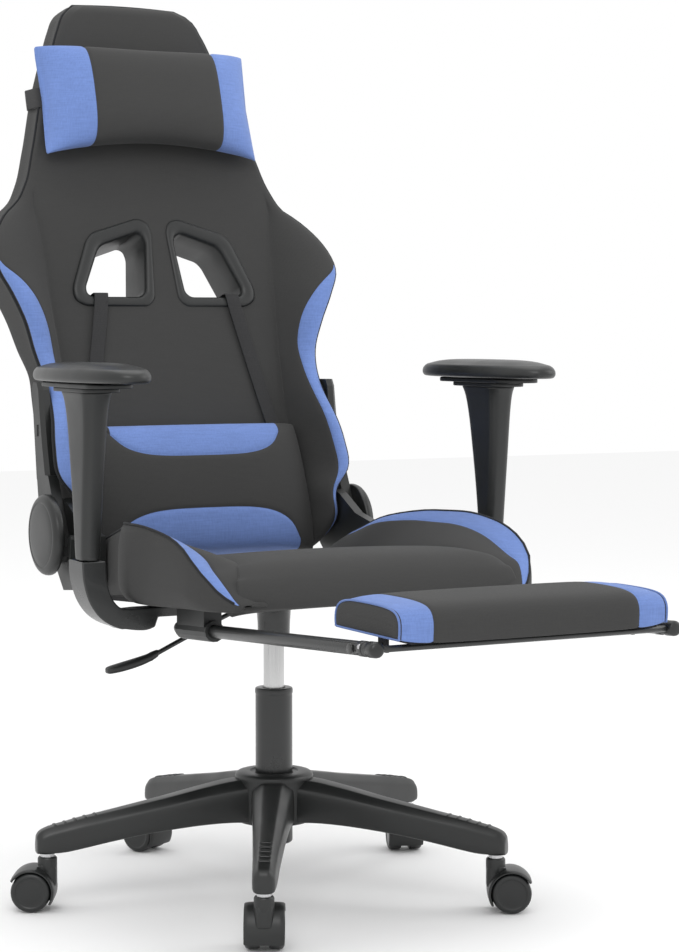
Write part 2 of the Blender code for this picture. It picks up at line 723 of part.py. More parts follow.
def backrest_rear_panel(parts, axis):
    outline = [(row[3] - 0.022, row[0]) for row in BACKREST[1:-2]]
    outline += [(-x, z) for x, z in reversed(outline)]
    rings = [
        [(x, back_plane(z) + BACK_THICK + offset, z) for x, z in outline]
        for offset in (GAP, REAR_PANEL_THICK)
    ]
    panel = add_piece("backrest_rear_panel", loft(rings), parts["dark_fabric"], axis)
    for side in (1, -1):
        cut_piece(panel, through_back(HOLE_OUTER, side, 0.05, -0.13, GAP), axis)


def pillow(half_width, bottom, top, thickness, rest, end_scale, steps=8):
    """A stuffed cushion lying on the backrest's front plane, thinner towards its ends."""
    rings = []
    for step in range(steps + 1):
        t = -1 + 2 * step / steps
        fullness = end_scale + (1 - end_scale) * (1 - t**4)
        ring = []
        for k in range(12):
            angle = 2 * math.pi * k / 12
            height = 0.5 * (top - bottom) * math.copysign(abs(math.sin(angle)) ** 0.6, math.sin(angle))
            depth = 0.5 * thickness * fullness * math.copysign(abs(math.cos(angle)) ** 0.7, math.cos(angle))
            proud = rest + 0.5 * thickness * fullness + depth
            ring.append(back_point(half_width * t, 0.5 * (top + bottom) + height, proud))
        rings.append(ring)
    return loft(rings)


def band(points, width_direction, half_width, thick):
    """A flat strap along points, each given with the direction that faces away from it."""
    rings = []
    for point, outward in points:
        across = Vector(width_direction) * half_width
        lift = Vector(outward).normalized() * thick
        rings.append([point - across, point + across, point + across + lift, point - across + lift])
    return loft(rings)


def head_pillow(parts, axis):
    shape = pillow(0.163, 1.007, 1.168, 0.070, 0.0040, 0.30)
    add_piece("head_pillow", shape, parts["dark_fabric"], axis)
    z = 1.100
    half = 0.1600
    front = back_plane(z)
    rear = front + BACK_THICK + REAR_PANEL_THICK + 0.0008
    left = Vector((-1, 0, 0))
    path = [(Vector((-half, front + 0.002, z)), left), (Vector((-half, rear - 0.022, z)), left)]
    path.append((Vector((-half + 0.015, rear - 0.004, z)), left - LEAN))
    path.append((Vector((-half + 0.023, rear, z)), -LEAN))
    path += [(Vector((-p.x, p.y, p.z)), Vector((-n.x, n.y, n.z))) for p, n in reversed(path)]
    up_back = Vector((0, BACK_LEAN, 1)).normalized()
    add_piece("head_strap", band(path, up_back, 0.015, 0.0015), parts["strap"], axis)


def lumbar_pillow(parts, axis):
    shape = pillow(0.1645, 0.434, 0.618, 0.060, 0.0040, 0.62)
    for vertex in shape.verts:
        vertex.co.x *= 1.0 + 0.10 * min(1.0, (back_plane(vertex.co.z) - vertex.co.y) / 0.06)
    add_piece("lumbar_pillow", shape, parts["dark_fabric"], axis)
    down = Vector((0, -BACK_LEAN, -1)).normalized()
    up = -down
    rear = -(BACK_THICK + REAR_PANEL_THICK) * math.cos(math.atan(BACK_LEAN))
    for side, name in ((1, "left"), (-1, "right")):
        path = (
            (back_point(side * 0.147, 0.628, 0.004), LEAN),
            (back_point(side * 0.108, 0.788, 0.0075), LEAN),
            (back_point(side * 0.104, 0.8125, 0.0075), LEAN + up),
            (back_point(side * 0.104, 0.8125, rear - 0.003), up - LEAN),
            (back_point(side * 0.106, 0.770, rear - 0.0030), -LEAN),
            (back_point(side * 0.112, 0.500, rear - 0.0030), -LEAN),
        )
        strap = band(path, (side, 0, 0), side * 0.010, 0.0015)
        add_piece("lumbar_strap_" + name, strap, parts["strap"], axis)


def backrest(parts, axis):
    backrest_cushion(parts, axis)
    backrest_rear_panel(parts, axis)
    for side, name in ((1, "left"), (-1, "right")):
        add_piece("hole_trim_" + name, hole_trim(side), parts["plastic"], axis)
    head_pillow(parts, axis)
    lumbar_pillow(parts, axis)


# --- Footrest -----------------------------------------------------------------------------
def rail_guides(parts, seat_axis):
    """A sleeve under each side of the seat with a foot that reaches the seat's underside."""
    front, rear = -0.231, -0.140
    for side, name in ((1, "left"), (-1, "right")):
        x = side * RAIL_X
        start = Vector((x, front, rail_height(front)))
        end = Vector((x, rear, rail_height(rear)))
        guide = add_piece("rail_guide_" + name, bar(start, end, 0.0130, 14), parts["plastic"], seat_axis)
        foot = tilted_slab(x - 0.012, x + 0.012, front + 0.006, rear - 0.004, -0.0200, -GAP)
        join_piece(guide, foot, seat_axis)
        run = (end - start).normalized() * 0.02
        cut_piece(guide, bar(start - run, end + run, RAIL_RADIUS + 0.0006, 14), seat_axis)


def footrest(parts, slide_axis, flip_axis):
    for side, name in ((1, "left"), (-1, "right")):
        x = side * RAIL_X
        cap = Vector((x, RAIL_CAP_Y, RAIL_CAP_Z))
        rear = Vector((x, RAIL_END_Y, rail_height(RAIL_END_Y)))
        run = (rear - cap).length
        profile = (
            (0.0070, -0.0090), (0.0088, -0.0070), (0.0088, 0.0080), (RAIL_RADIUS, 0.0080),
            (RAIL_RADIUS, run),
        )
        shape = turned(profile, 14, cap, rear - cap)
        rail = add_piece("footrest_rail_" + name, shape, parts["painted"], slide_axis)
        pin_z = rail_height(PIVOT_Y)
        pin = bar((side * 0.2045, PIVOT_Y, pin_z), (side * 0.1560, PIVOT_Y, pin_z), 0.003, 10)
        join_piece(rail, pin, slide_axis)
    reach = RAIL_X - 0.0088 - GAP
    cross = bar((-reach, RAIL_CAP_Y, RAIL_CAP_Z), (reach, RAIL_CAP_Y, RAIL_CAP_Z), 0.00375, 10)
    add_piece("footrest_crossbar", cross, parts["painted"], slide_axis)

    board = box((-0.1600, -0.655, 0.4265), (0.1600, -0.500, 0.4315))
    piece = add_piece("footrest_board", board, parts["wood"], flip_axis)
    for side in (1, -1):
        x = side * 0.162
        ear = box((x - 0.002, PIVOT_Y - 0.009, 0.4120), (x + 0.002, PIVOT_Y + 0.009, 0.4315))
        join_piece(piece, ear, flip_axis)
    hole = bar((-0.2, PIVOT_Y, rail_height(PIVOT_Y)), (0.2, PIVOT_Y, rail_height(PIVOT_Y)), 0.0034, 12)
    cut_piece(piece, hole, flip_axis)

    rings = []
    bottom, top = 0.4318, 0.4715
    front, rear = -0.661, -0.503
    section = ((front + 0.006, bottom), (rear - 0.006, bottom), (rear, bottom + 0.010), (rear, top - 0.020),
               (rear - 0.012, top - 0.006), (rear - 0.045, top), (front + 0.055, top),
               (front + 0.015, top - 0.006), (front, top - 0.020), (front, bottom + 0.010))
    half = ((0.120, 0.0), (0.160, 0.004), (0.170, 0.008), (0.175, 0.014))
    for x, inset in [(-x, inset) for x, inset in reversed(half)] + list(half):
        middle_y = 0.5 * (front + rear)
        rings.append([
            (x, y + math.copysign(inset, middle_y - y), z - (inset if z > top - 0.025 else 0.0))
            for y, z in section
        ])
    add_piece("footrest_pad", loft(rings), parts["dark_fabric"], flip_axis)


# --- Assembly -----------------------------------------------------------------------------
def main():
    clear_scene()
    parts = {
        "cutter": make_material("cutter", (0.8, 0.2, 0.2), 0.5),
        "dark_fabric": make_material("dark_fabric", (0.060, 0.060, 0.060), 0.95),
        "strap": make_material("strap", (0.035, 0.035, 0.036), 0.90),
        "plastic": make_material("plastic", (0.032, 0.035, 0.034), 0.45),
        "wheel": make_material("wheel", (0.030, 0.030, 0.030), 0.40),
        "painted": make_material("painted", (0.045, 0.047, 0.047), 0.35, 0.3),
        "chrome": make_material("chrome", (0.80, 0.80, 0.80), 0.12, 1.0),
        "steel": make_material("steel", (0.55, 0.55, 0.56), 0.30, 1.0),
        "wood": make_material("wood", (0.30, 0.21, 0.13), 0.80),
    }
    origin = make_axis("column_axis", (0, 0, 0))
    origin.location = COLUMN
    star_base(parts, origin)
    casters(parts, origin)
    swivel = make_axis("seat_swivel_axis", (0, 0, TUBE_BOTTOM), origin)
    seat_axis = make_axis("seat_lift_axis", (0, 0, CYLINDER_TOP), swivel)
    gas_lift(parts, origin, swivel, seat_axis)
    seat_mechanism(parts, seat_axis)
    height_lever(parts, make_axis("height_lever_axis", (-0.060, 0, 0.386), seat_axis))
    seat(parts, seat_axis)
    armrests(parts, seat_axis)
    back_axis = make_axis("recline_axis", (0, HINGE_Y, HINGE_Z), seat_axis)
    recliner(parts, seat_axis, back_axis)
    recline_lever(parts, make_axis("recline_lever_axis", (-0.224, LEVER_Y, LEVER_Z), seat_axis))
    backrest(parts, back_axis)
    rail_guides(parts, seat_axis)
    slide_axis = make_axis("footrest_slide_axis", (0, RAIL_CAP_Y, RAIL_CAP_Z), seat_axis)
    flip_axis = make_axis("footrest_flip_axis", (0, PIVOT_Y, rail_height(PIVOT_Y)), slide_axis)
    footrest(parts, slide_axis, flip_axis)


main()
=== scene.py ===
"""Looks of the gaming chair: woven upholstery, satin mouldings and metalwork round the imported
CAD frame. Shapes are written from the column axis, in metres, and moved onto it at the end."""

import math

import bmesh
import bpy
import numpy as np
from mathutils import Matrix, Vector


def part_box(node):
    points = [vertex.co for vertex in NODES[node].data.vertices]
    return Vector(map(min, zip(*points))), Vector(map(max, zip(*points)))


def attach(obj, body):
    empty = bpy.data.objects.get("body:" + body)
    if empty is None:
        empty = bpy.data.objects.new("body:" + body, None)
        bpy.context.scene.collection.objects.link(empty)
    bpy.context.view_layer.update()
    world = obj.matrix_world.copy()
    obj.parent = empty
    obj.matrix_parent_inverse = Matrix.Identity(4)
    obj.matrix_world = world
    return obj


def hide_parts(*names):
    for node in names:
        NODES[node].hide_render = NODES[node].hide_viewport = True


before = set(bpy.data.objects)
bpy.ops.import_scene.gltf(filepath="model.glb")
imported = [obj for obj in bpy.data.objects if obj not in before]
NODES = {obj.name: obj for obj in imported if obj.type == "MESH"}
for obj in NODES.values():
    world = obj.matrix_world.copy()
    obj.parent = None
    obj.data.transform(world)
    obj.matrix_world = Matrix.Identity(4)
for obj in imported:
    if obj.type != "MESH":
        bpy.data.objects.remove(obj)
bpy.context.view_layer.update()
SIDES = ((1, "left"), (-1, "right"))


def middle(node):
    low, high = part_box(node)
    return (low + high) / 2


COLUMN = Vector((middle("gas_cylinder").x, middle("gas_cylinder").y, 0))

# --- Sizes shared with the CAD frame --------------------------------------------------------
SEAT_SLOPE = 0.0665
BACK_Y = 0.353  # front plane of the backrest's centre panel, at height BACK_Z
BACK_Z = 0.796
BACK_LEAN = 0.3077
BACK_THICK = 0.070
HINGE = (0.222, 0.479)
ARM = (0.295, -0.067)
RAIL_X = 0.1945
LEAN = Vector((0, -1, BACK_LEAN)).normalized()


def seat_under(y):
    return 0.4045 - SEAT_SLOPE * y


def rail_height(y):
    return 0.421 - SEAT_SLOPE * (y + 0.636)


def back_plane(z):
    return BACK_Y + BACK_LEAN * (z - BACK_Z)


def back_point(x, z, proud):
    return Vector((x, back_plane(z), z)) + LEAN * proud


def reading(table):
    """A smooth curve through (position, value...) rows."""
    rows = np.array(table, float)
    places, values = rows[:, 0], rows[:, 1:]
    slopes = np.gradient(values, places, axis=0)

    def read(position):
        position = min(max(position, places[0]), places[-1])
        i = int(min(max(np.searchsorted(places, position) - 1, 0), len(places) - 2))
        step = places[i + 1] - places[i]
        t = (position - places[i]) / step
        start, end = values[i], values[i + 1]
        rise = 3 * t * t - 2 * t**3
        pull = (t - 2 * t * t + t**3) * step * slopes[i] + (t**3 - t * t) * step * slopes[i + 1]
        return start + rise * (end - start) + pull

    return read


def curl(value, power):
    """A power that keeps its sign, to square off a sine or cosine."""
    return math.copysign(abs(value) ** power, value)


def eased(count):
    """Fractions from 0 to 1 that crowd together at both ends."""
    return [0.5 - 0.5 * math.cos(math.pi * k / count) for k in range(count + 1)]


# --- Materials ------------------------------------------------------------------------------
NOISE_RANGE = (0.3, 0.7)  # where nearly all the values of a noise texture lie


class Shader:
    """A Principled material with short ways to wire texture nodes."""

    def __init__(self, name, colour, roughness, metallic=0.0, **values):
        self.material = bpy.data.materials.new(name)
        self.material.use_nodes = True
        self.tree = self.material.node_tree
        self.surface = self.tree.nodes["Principled BSDF"]
        self.surface.inputs["Base Color"].default_value = (*colour, 1)
        self.surface.inputs["Roughness"].default_value = roughness
        self.surface.inputs["Metallic"].default_value = metallic
        for socket, value in values.items():
            self.surface.inputs[socket.replace("_", " ")].default_value = value
        self.coordinates = self.tree.nodes.new("ShaderNodeTexCoord")

    def node(self, kind, **values):
        made = self.tree.nodes.new(kind)
        for key, value in values.items():
            setattr(made, key, value)
        return made

    def link(self, source, target):
        self.tree.links.new(source, target)

    def math(self, operation, first, second=None):
        made = self.node("ShaderNodeMath", operation=operation)
        for index, value in enumerate((first, second)):
            if isinstance(value, (int, float)):
                made.inputs[index].default_value = value
            elif value is not None:
                self.link(value, made.inputs[index])
        return made.outputs[0]

    def noise(self, scale, detail=3.0, stretch=(1, 1, 1)):
        mapping = self.node("ShaderNodeMapping")
        mapping.inputs["Scale"].default_value = stretch
        self.link(self.coordinates.outputs["Object"], mapping.inputs["Vector"])
        texture = self.node("ShaderNodeTexNoise")
        texture.inputs["Scale"].default_value = scale
        texture.inputs["Detail"].default_value = detail
        self.link(mapping.outputs[0], texture.inputs["Vector"])
        return texture.outputs["Fac"]

    def roughen(self, value, low, high):
        """Lets the roughness follow a texture between two values."""
        made = self.node("ShaderNodeMapRange")
        made.inputs["From Min"].default_value, made.inputs["From Max"].default_value = NOISE_RANGE
        made.inputs["To Min"].default_value, made.inputs["To Max"].default_value = low, high
        self.link(value, made.inputs["Value"])
        self.link(made.outputs[0], self.surface.inputs["Roughness"])

    def shades(self, value, low, high):
        """Colours the surface between two tones."""
        ramp = self.node("ShaderNodeValToRGB")
        for element, position, colour in zip(ramp.color_ramp.elements, NOISE_RANGE, (low, high)):
            element.position = position
            element.color = (*colour, 1)
        self.link(value, ramp.inputs[0])
        self.link(ramp.outputs[0], self.surface.inputs["Base Color"])

    def bumps(self, *layers):
        """Stacks (height, depth in metres, strength) layers of relief."""
        normal = None
        for height, depth, strength in layers:
            bump = self.node("ShaderNodeBump")
            bump.inputs["Strength"].default_value = strength
            bump.inputs["Distance"].default_value = depth
            self.link(height, bump.inputs["Height"])
            if normal is not None:
                self.link(normal, bump.inputs["Normal"])
            normal = bump.outputs[0]
        self.link(normal, self.surface.inputs["Normal"])


def tone(colour, factor):
    return tuple(channel * factor for channel in colour)


def weave(shader, period):
    """Threads along the two axes that lie in the surface, out of three sets of bands."""
    split = shader.node("ShaderNodeSeparateXYZ")
    shader.link(shader.coordinates.outputs["Normal"], split.inputs[0])
    total = 0.0
    for axis, direction in enumerate("XYZ"):
        bands = shader.node("ShaderNodeTexWave", bands_direction=direction)
        bands.inputs["Scale"].default_value = 2 * math.pi / (20 * period)
        bands.inputs["Distortion"].default_value = 0.6
        bands.inputs["Detail Scale"].default_value = 2.0
        shader.link(shader.coordinates.outputs["Object"], bands.inputs["Vector"])
        facing = shader.math("MULTIPLY", split.outputs[axis], split.outputs[axis])
        lying = shader.math("SUBTRACT", 1.0, facing)
        weight = shader.math("MULTIPLY", lying, lying)
        total = shader.math("ADD", shader.math("MULTIPLY", bands.outputs["Fac"], weight), total)
    return total


def fabric(name, colour, contrast, period=0.0016, sheen=0.25):
    """Woven cloth: fine threads, uneven yarn along both ways of the cloth and a cloudy dye."""
    shader = Shader(name, colour, 0.88, Sheen_Weight=sheen, Sheen_Roughness=0.45, Specular_IOR_Level=0.25)
    threads = weave(shader, period)
    upright = shader.noise(1.0, 2.0, (620, 620, 46))
    level = shader.noise(1.0, 2.0, (46, 46, 620))
    cloudy = shader.noise(9.0, 4.0)
    slubs = shader.math("ADD", shader.math("MULTIPLY", upright, 0.35), shader.math("MULTIPLY", level, 0.35))
    mixed = shader.math("ADD", slubs, shader.math("MULTIPLY", cloudy, 0.30))
    shader.shades(mixed, tone(colour, 1 - contrast), tone(colour, 1 + contrast))
    shader.roughen(mixed, 0.82, 0.94)
    shader.bumps((shader.noise(26.0, 3.0), 0.0022, 0.16), (slubs, 0.0006, 0.30), (threads, 0.0004, 0.35))
    return shader.material


def moulded(name, colour, roughness, grain=1100.0, **values):
    """Grained plastic or paint."""
    shader = Shader(name, colour, roughness, **values)
    cloudy = shader.noise(14.0, 5.0)
    shader.shades(cloudy, tone(colour, 0.88), tone(colour, 1.14))
    shader.roughen(cloudy, roughness - 0.06, roughness + 0.07)
    shader.bumps((shader.noise(grain, 2.0), 0.00025, 0.22), (shader.noise(60.0, 2.0), 0.0005, 0.10))
    return shader.material


def metal(name, colour, roughness, stretch):
    """Bare or plated metal with fine drawn lines."""
    shader = Shader(name, colour, roughness, 1.0)
    lines = shader.noise(1.0, 3.0, stretch)
    shader.shades(lines, tone(colour, 0.93), tone(colour, 1.05))
    shader.roughen(lines, roughness - 0.05, roughness + 0.09)
    shader.bumps((lines, 0.00008, 0.25))
    return shader.material


DARK_CLOTH = fabric("dark_cloth", (0.041, 0.041, 0.0405), 0.10, sheen=0.06)
BLUE_CLOTH = fabric("blue_cloth", (0.140, 0.220, 0.490), 0.17, sheen=0.10)
WEBBING = fabric("webbing", (0.032, 0.032, 0.033), 0.15, period=0.0024, sheen=0.05)
LINING = fabric("lining", (0.020, 0.020, 0.021), 0.20, period=0.0030, sheen=0.0)
PIPING = fabric("piping", (0.018, 0.019, 0.021), 0.15, period=0.0012, sheen=0.05)
BLUE_PIPING = fabric("blue_piping", (0.120, 0.190, 0.430), 0.12, period=0.0012, sheen=0.1)
PLASTIC = moulded("satin_plastic", (0.0120, 0.0130, 0.0128), 0.38)
DEEP_PLASTIC = moulded("deep_plastic", (0.010, 0.011, 0.011), 0.45)
WHEEL_PLASTIC = moulded("wheel_plastic", (0.011, 0.012, 0.012), 0.36)
PAINT = moulded("black_paint", (0.016, 0.017, 0.017), 0.30, grain=420.0, Coat_Weight=0.12)
# painted shade: a near-black material for the plates that stand for the shaded insides of slots
SHADOW = moulded("painted_slot_shade", (0.008, 0.008, 0.008), 0.70)
CHROME = metal("chrome", (0.52, 0.52, 0.52), 0.20, (900, 900, 12))
STEEL = metal("zinc_steel", (0.56, 0.56, 0.57), 0.34, (500, 500, 60))


# --- Mesh helpers ---------------------------------------------------------------------------
def place_mesh(name, points, faces, paints, materials, shift=True):
    """Makes an object from points and faces, with every face turned outwards."""
    mesh = bpy.data.meshes.new(name)
    move = np.array(COLUMN) if shift else np.zeros(3)
    mesh.from_pydata([tuple(np.array(p, float) + move) for p in points], [], faces)
    for material in materials:
        mesh.materials.append(material)
    mesh.polygons.foreach_set("material_index", paints)
    shape = bmesh.new()
    shape.from_mesh(mesh)
    bmesh.ops.recalc_face_normals(shape, faces=shape.faces)
    if shape.calc_volume(signed=True) < 0:
        bmesh.ops.reverse_faces(shape, faces=shape.faces)
    shape.to_mesh(mesh)
    shape.free()
    mesh.shade_smooth()
    piece = bpy.data.objects.new(name, mesh)
    bpy.context.scene.collection.objects.link(piece)
    return piece


def skin(name, grid, materials, paint=None, ring=False):
    """Skins rows of points into a closed tube: ring joins the last row to the first, in place of caps."""
    rows, columns = len(grid), len(grid[0])
    points = [point for row in grid for point in row]
    faces, paints = [], []
    for i in range(rows if ring else rows - 1):
        below, above = i * columns, (i + 1) % rows * columns
        for j in range(columns):
            k = (j + 1) % columns
            faces.append((below + j, below + k, above + k, above + j))
            paints.append(paint(i, j) if paint else 0)
    if not ring:
        faces.append(tuple(range(columns))[::-1])
        faces.append(tuple(range((rows - 1) * columns, rows * columns)))
        paints += [paint(-1, 0) if paint else 0, paint(rows, 0) if paint else 0]
    return place_mesh(name, points, faces, paints, materials)


def smooth(piece):
    modifier = piece.modifiers.new("Smooth", "SUBSURF")
    modifier.levels = 1
    modifier.render_levels = 1
    return piece


def bevel(piece, width, segments=3, angle=32):
    modifier = piece.modifiers.new("Bevel", "BEVEL")
    modifier.width = width
    modifier.segments = segments
    modifier.limit_method = "ANGLE"
    modifier.angle_limit = math.radians(angle)
    modifier.harden_normals = True
    return piece


def bake(piece):
    """Applies a piece's modifiers."""
    graph = bpy.context.evaluated_depsgraph_get()
    mesh = bpy.data.meshes.new_from_object(piece.evaluated_get(graph))
    piece.modifiers.clear()
    piece.data = mesh
    return piece


def cut(piece, cutters):
    """Cuts closed shapes out of a piece and removes them."""
    for cutter in cutters:
        modifier = piece.modifiers.new("Cut", "BOOLEAN")
        modifier.operation = "DIFFERENCE"
        modifier.solver = "EXACT"
        modifier.object = cutter
    bake(piece)
    for cutter in cutters:
        bpy.data.objects.remove(cutter)
    return piece


def merged(name, pieces):
    """Joins finished pieces into one object, as separate closed shells."""
    shape = bmesh.new()
    materials = []
    for piece in pieces:
        bake(piece)
        offset = []
        for material in piece.data.materials:
            if material not in materials:
                materials.append(material)
            offset.append(materials.index(material))
        for face in piece.data.polygons:
            face.material_index = offset[face.material_index]
        shape.from_mesh(piece.data)
    mesh = bpy.data.meshes.new(name)
    shape.to_mesh(mesh)
    shape.free()
    for material in materials:
        mesh.materials.append(material)
    for piece in pieces:
        bpy.data.objects.remove(piece)
    joined = bpy.data.objects.new(name, mesh)
    bpy.context.scene.collection.objects.link(joined)
    return joined


def settle(piece, body, slot, *nodes, fill=None):
    """Hands a finished piece to its body and hides the CAD nodes that it takes the place of."""
    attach(piece, body)
    if nodes:
        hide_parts(*nodes)
    return piece


def lathe(name, profile, start, direction, material, sides=48, hollow=False):
    """A turned piece: (radius, distance) points round the line that leaves start. Hollow keeps its bore."""
    turn = Vector(direction).to_track_quat("Z", "Y").to_matrix()
    grid = []
    for radius, distance in profile:
        ring = []
        for k in range(sides):
            angle = 2 * math.pi * k / sides
            local = Vector((radius * math.cos(angle), radius * math.sin(angle), distance))
            ring.append(Vector(start) + turn @ local)
        grid.append(ring)
    piece = skin(name, grid, [material], ring=hollow)
    piece.data.set_sharp_from_angle(angle=math.radians(40))
    return piece


def rounded(radius, low, high, edge, steps=4):
    """Turned profile of a bar with rounded ends."""
    rise = [(1 - math.cos(a), math.sin(a)) for a in [math.pi / 2 * k / steps for k in range(steps + 1)]]
    start = [(radius - edge + edge * s, low + edge * c) for c, s in rise]
    end = [(radius - edge + edge * s, high - edge * c) for c, s in reversed(rise)]
    return [(1e-5, low)] + start + end + [(1e-5, high)]


def spline(points, steps, closed=False):
    """A smooth line through given points."""
    points = [np.array(p, float) for p in points]
    count = len(points)
    line = []
    for i in range(count if closed else count - 1):
        if closed:
            a, b, c, d = (points[(i + k) % count] for k in (-1, 0, 1, 2))
        else:
            a, b, c, d = (points[min(max(i + k, 0), count - 1)] for k in (-1, 0, 1, 2))
        for k in range(steps):
            t = k / steps
            bend = (2 * a - 5 * b + 4 * c - d) * t * t
            twist = (3 * b - a - 3 * c + d) * t**3
            line.append(0.5 * (2 * b + (c - a) * t + bend + twist))
    if not closed:
        line.append(points[-1])
    return line


def tube(name, line, radius, material, sides=10, closed=False):
    """A round cord along a line, with frames carried along it so that it never twists."""
    line = [Vector(p) for p in line]
    count = len(line)
    grid, across = [], None
    for i, point in enumerate(line):
        before = line[i - 1] if closed or i else line[0]
        after = line[(i + 1) % count] if closed or i < count - 1 else line[-1]
        along = (after - before).normalized()
        if across is None:
            across = along.orthogonal().normalized()
        across = (across - along * across.dot(along)).normalized()
        other = along.cross(across)
        grid.append([point + radius * (across * math.cos(a) + other * math.sin(a))
                     for a in [2 * math.pi * k / sides for k in range(sides)]])
    return skin(name, grid, [material], ring=closed)


def capsule_ring(half_width, half_length, corner, steps=6):
    """A rounded rectangle's outline round the origin."""
    points = []
    for quarter, (sx, sy) in enumerate(((1, 1), (-1, 1), (-1, -1), (1, -1))):
        for step in range(steps + 1):
            angle = math.pi / 2 * (quarter + step / steps)
            points.append((sx * (half_width - corner) + corner * math.cos(angle),
                           sy * (half_length - corner) + corner * math.sin(angle)))
    return points


# --- Backrest -------------------------------------------------------------------------------
BACKREST = (
    # z, half-width at the front lip, lip forward of the centre panel, side wall, panel seam
    (0.437, 0.184, 0.000, 0.181, 0.150),
    (0.455, 0.196, 0.022, 0.194, 0.161),
    (0.485, 0.2030, 0.062, 0.2025, 0.167),
    (0.534, 0.2050, 0.077, 0.2030, 0.170),
    (0.556, 0.2225, 0.081, 0.2045, 0.170),
    (0.600, 0.2260, 0.079, 0.2050, 0.172),
    (0.640, 0.2200, 0.071, 0.2050, 0.172),
    (0.665, 0.2160, 0.058, 0.2050, 0.172),
    (0.692, 0.2160, 0.044, 0.2052, 0.173),
    (0.730, 0.2220, 0.034, 0.2180, 0.174),
    (0.775, 0.2350, 0.045, 0.2310, 0.177),
    (0.815, 0.2530, 0.052, 0.2480, 0.179),
    (0.850, 0.2680, 0.049, 0.2630, 0.180),
    (0.880, 0.2640, 0.038, 0.2590, 0.182),
    (0.908, 0.2490, 0.023, 0.2440, 0.184),
    (0.928, 0.2310, 0.011, 0.2270, 0.187),
    (0.942, 0.2130, 0.004, 0.2100, 0.189),
    (0.967, 0.1965, 0.000, 0.1950, 0.184),
    (1.020, 0.1780, 0.000, 0.1765, 0.166),
    (1.100, 0.1550, 0.000, 0.1535, 0.143),
    (1.171, 0.1290, 0.000, 0.1275, 0.117),
    (1.206, 0.1150, 0.000, 0.1135, 0.103),
    (1.232, 0.1000, -0.002, 0.0985, 0.088),
    (1.246, 0.0800, -0.006, 0.0790, 0.066),
)
STRIPE = (
    # z, inner edge of the blue stripe as a share of the way from the panel seam to the lip
    (0.440, 0.975), (0.459, 0.975), (0.474, 0.88), (0.489, 0.81), (0.518, 0.74), (0.549, 0.68),
    (0.605, 0.62),
    (0.662, 0.58), (0.709, 0.48), (0.748, 0.40), (0.774, 0.42), (0.813, 0.57), (0.837, 0.75), (0.855, 0.95),
    (0.862, 0.975), (1.250, 0.975),
)
STRIPE_ENDS = (0.460, 0.858)
STRIPE_OUTER = 0.985
LIP_RADIUS = 0.012
BACK_TOP = 1.246
BACK_BOTTOM = 0.437
read_back = reading(BACKREST)
read_stripe = reading(STRIPE)
CENTRE_STEPS = (0.0, 0.2, 0.4, 0.6, 0.8, 0.93, 0.985, 1.0)
SEAM_DIPS = {0.93: 0.1, 0.985: 7 / 15, 1.0: 1.0}  # share of the seam's depth at the steps beside it
SEAM_DEPTH = 0.0026
SEAM_TOP = 0.952  # the panel seam fades out above here
SEAM_FADE = 0.012
STRIPE_DIP = 0.0016
PANEL_CROWN = 0.004
WALL_CORNER = 0.013
PANEL_STEPS = (0.05, 0.16, 0.35, 0.6, 0.82, 0.94, 0.985, 1.0)
STRIPE_STEPS = (0.04, 0.12, 0.3, 0.5, 0.7, 0.88, 1.0)


def end_inset(z, radius=0.013):
    """How far the faces pull in where the cushion rounds over at its top and bottom."""
    reach = max(z - (BACK_TOP - radius), BACK_BOTTOM + radius - z, 0.0)
    return radius - math.sqrt(max(radius**2 - min(reach, radius) ** 2, 0.0))


def lip_point(share, z):
    """A point of the bolster's front, from the panel seam at 0 to the outside of the lip at 1."""
    lip, proud, _, seam = read_back(z)
    radius = min(LIP_RADIUS, 0.45 * (lip - seam))
    inset = end_inset(z)
    x = seam + share * (lip - seam)
    start = lip - radius
    front = back_plane(z) + inset
    if x <= start:
        climb = math.sin(math.pi / 2 * (x - seam) / (start - seam)) ** 1.25
        return x, front - proud * climb
    angle = math.asin(min((x - start) / radius, 1.0))
    return start + radius * math.sin(angle), front - proud + radius * (1 - math.cos(angle))


def back_half(z):
    """Half of a level slice, from the middle of the front round to the middle of the rear."""
    lip, proud, side, seam = read_back(z)
    inset = end_inset(z)
    front = back_plane(z) + inset
    rear = back_plane(z) + BACK_THICK - inset
    groove = SEAM_DEPTH * min(1.0, max(0.0, 1 - (z - SEAM_TOP) / SEAM_FADE))
    half = []
    for share in CENTRE_STEPS:
        dip = groove * SEAM_DIPS.get(share, 0.0)
        half.append((share * seam, front - PANEL_CROWN * (1 - share**2) + dip))
    inner = min(float(read_stripe(z)[0]), STRIPE_OUTER - 0.008)
    for share in PANEL_STEPS:
        x, y = lip_point(share * inner, z)
        near_seam = groove * max(0.0, 1 - share / 0.10)
        near_stripe = STRIPE_DIP * max(0.0, 1 - abs(1 - share) / 0.04) * (0.462 < z < 0.856)
        half.append((x, y + near_seam + near_stripe))
    for share in STRIPE_STEPS:
        half.append(lip_point(inner + share * (STRIPE_OUTER - inner), z))
    x, y = lip_point(1.0, z)
    half.append((x, y + 0.003))
    wall = rear - WALL_CORNER
    start = min(front - proud + 0.030, wall - 0.006)
    for share in (0.0, 0.35, 0.7, 1.0):
        half.append((side - 0.001 * (1 - share), start + share * (wall - start)))
    for degrees in (30, 60, 90):
        angle = math.radians(degrees)
        half.append((side - WALL_CORNER + WALL_CORNER * math.cos(angle), wall + WALL_CORNER * math.sin(angle)))
    half += [(0.6 * side, rear), (0.3 * side, rear), (0.0, rear)]
    return half


def back_rows():
    rows = [BACK_BOTTOM + 0.013 * s for s in (0.0, 0.1, 0.3, 0.6)]
    rows += list(np.linspace(BACK_BOTTOM + 0.013, BACK_TOP - 0.016, 108))
    rows += [BACK_TOP - 0.016 * s for s in (0.75, 0.5, 0.3, 0.14, 0.04, 0.0)]
    return rows


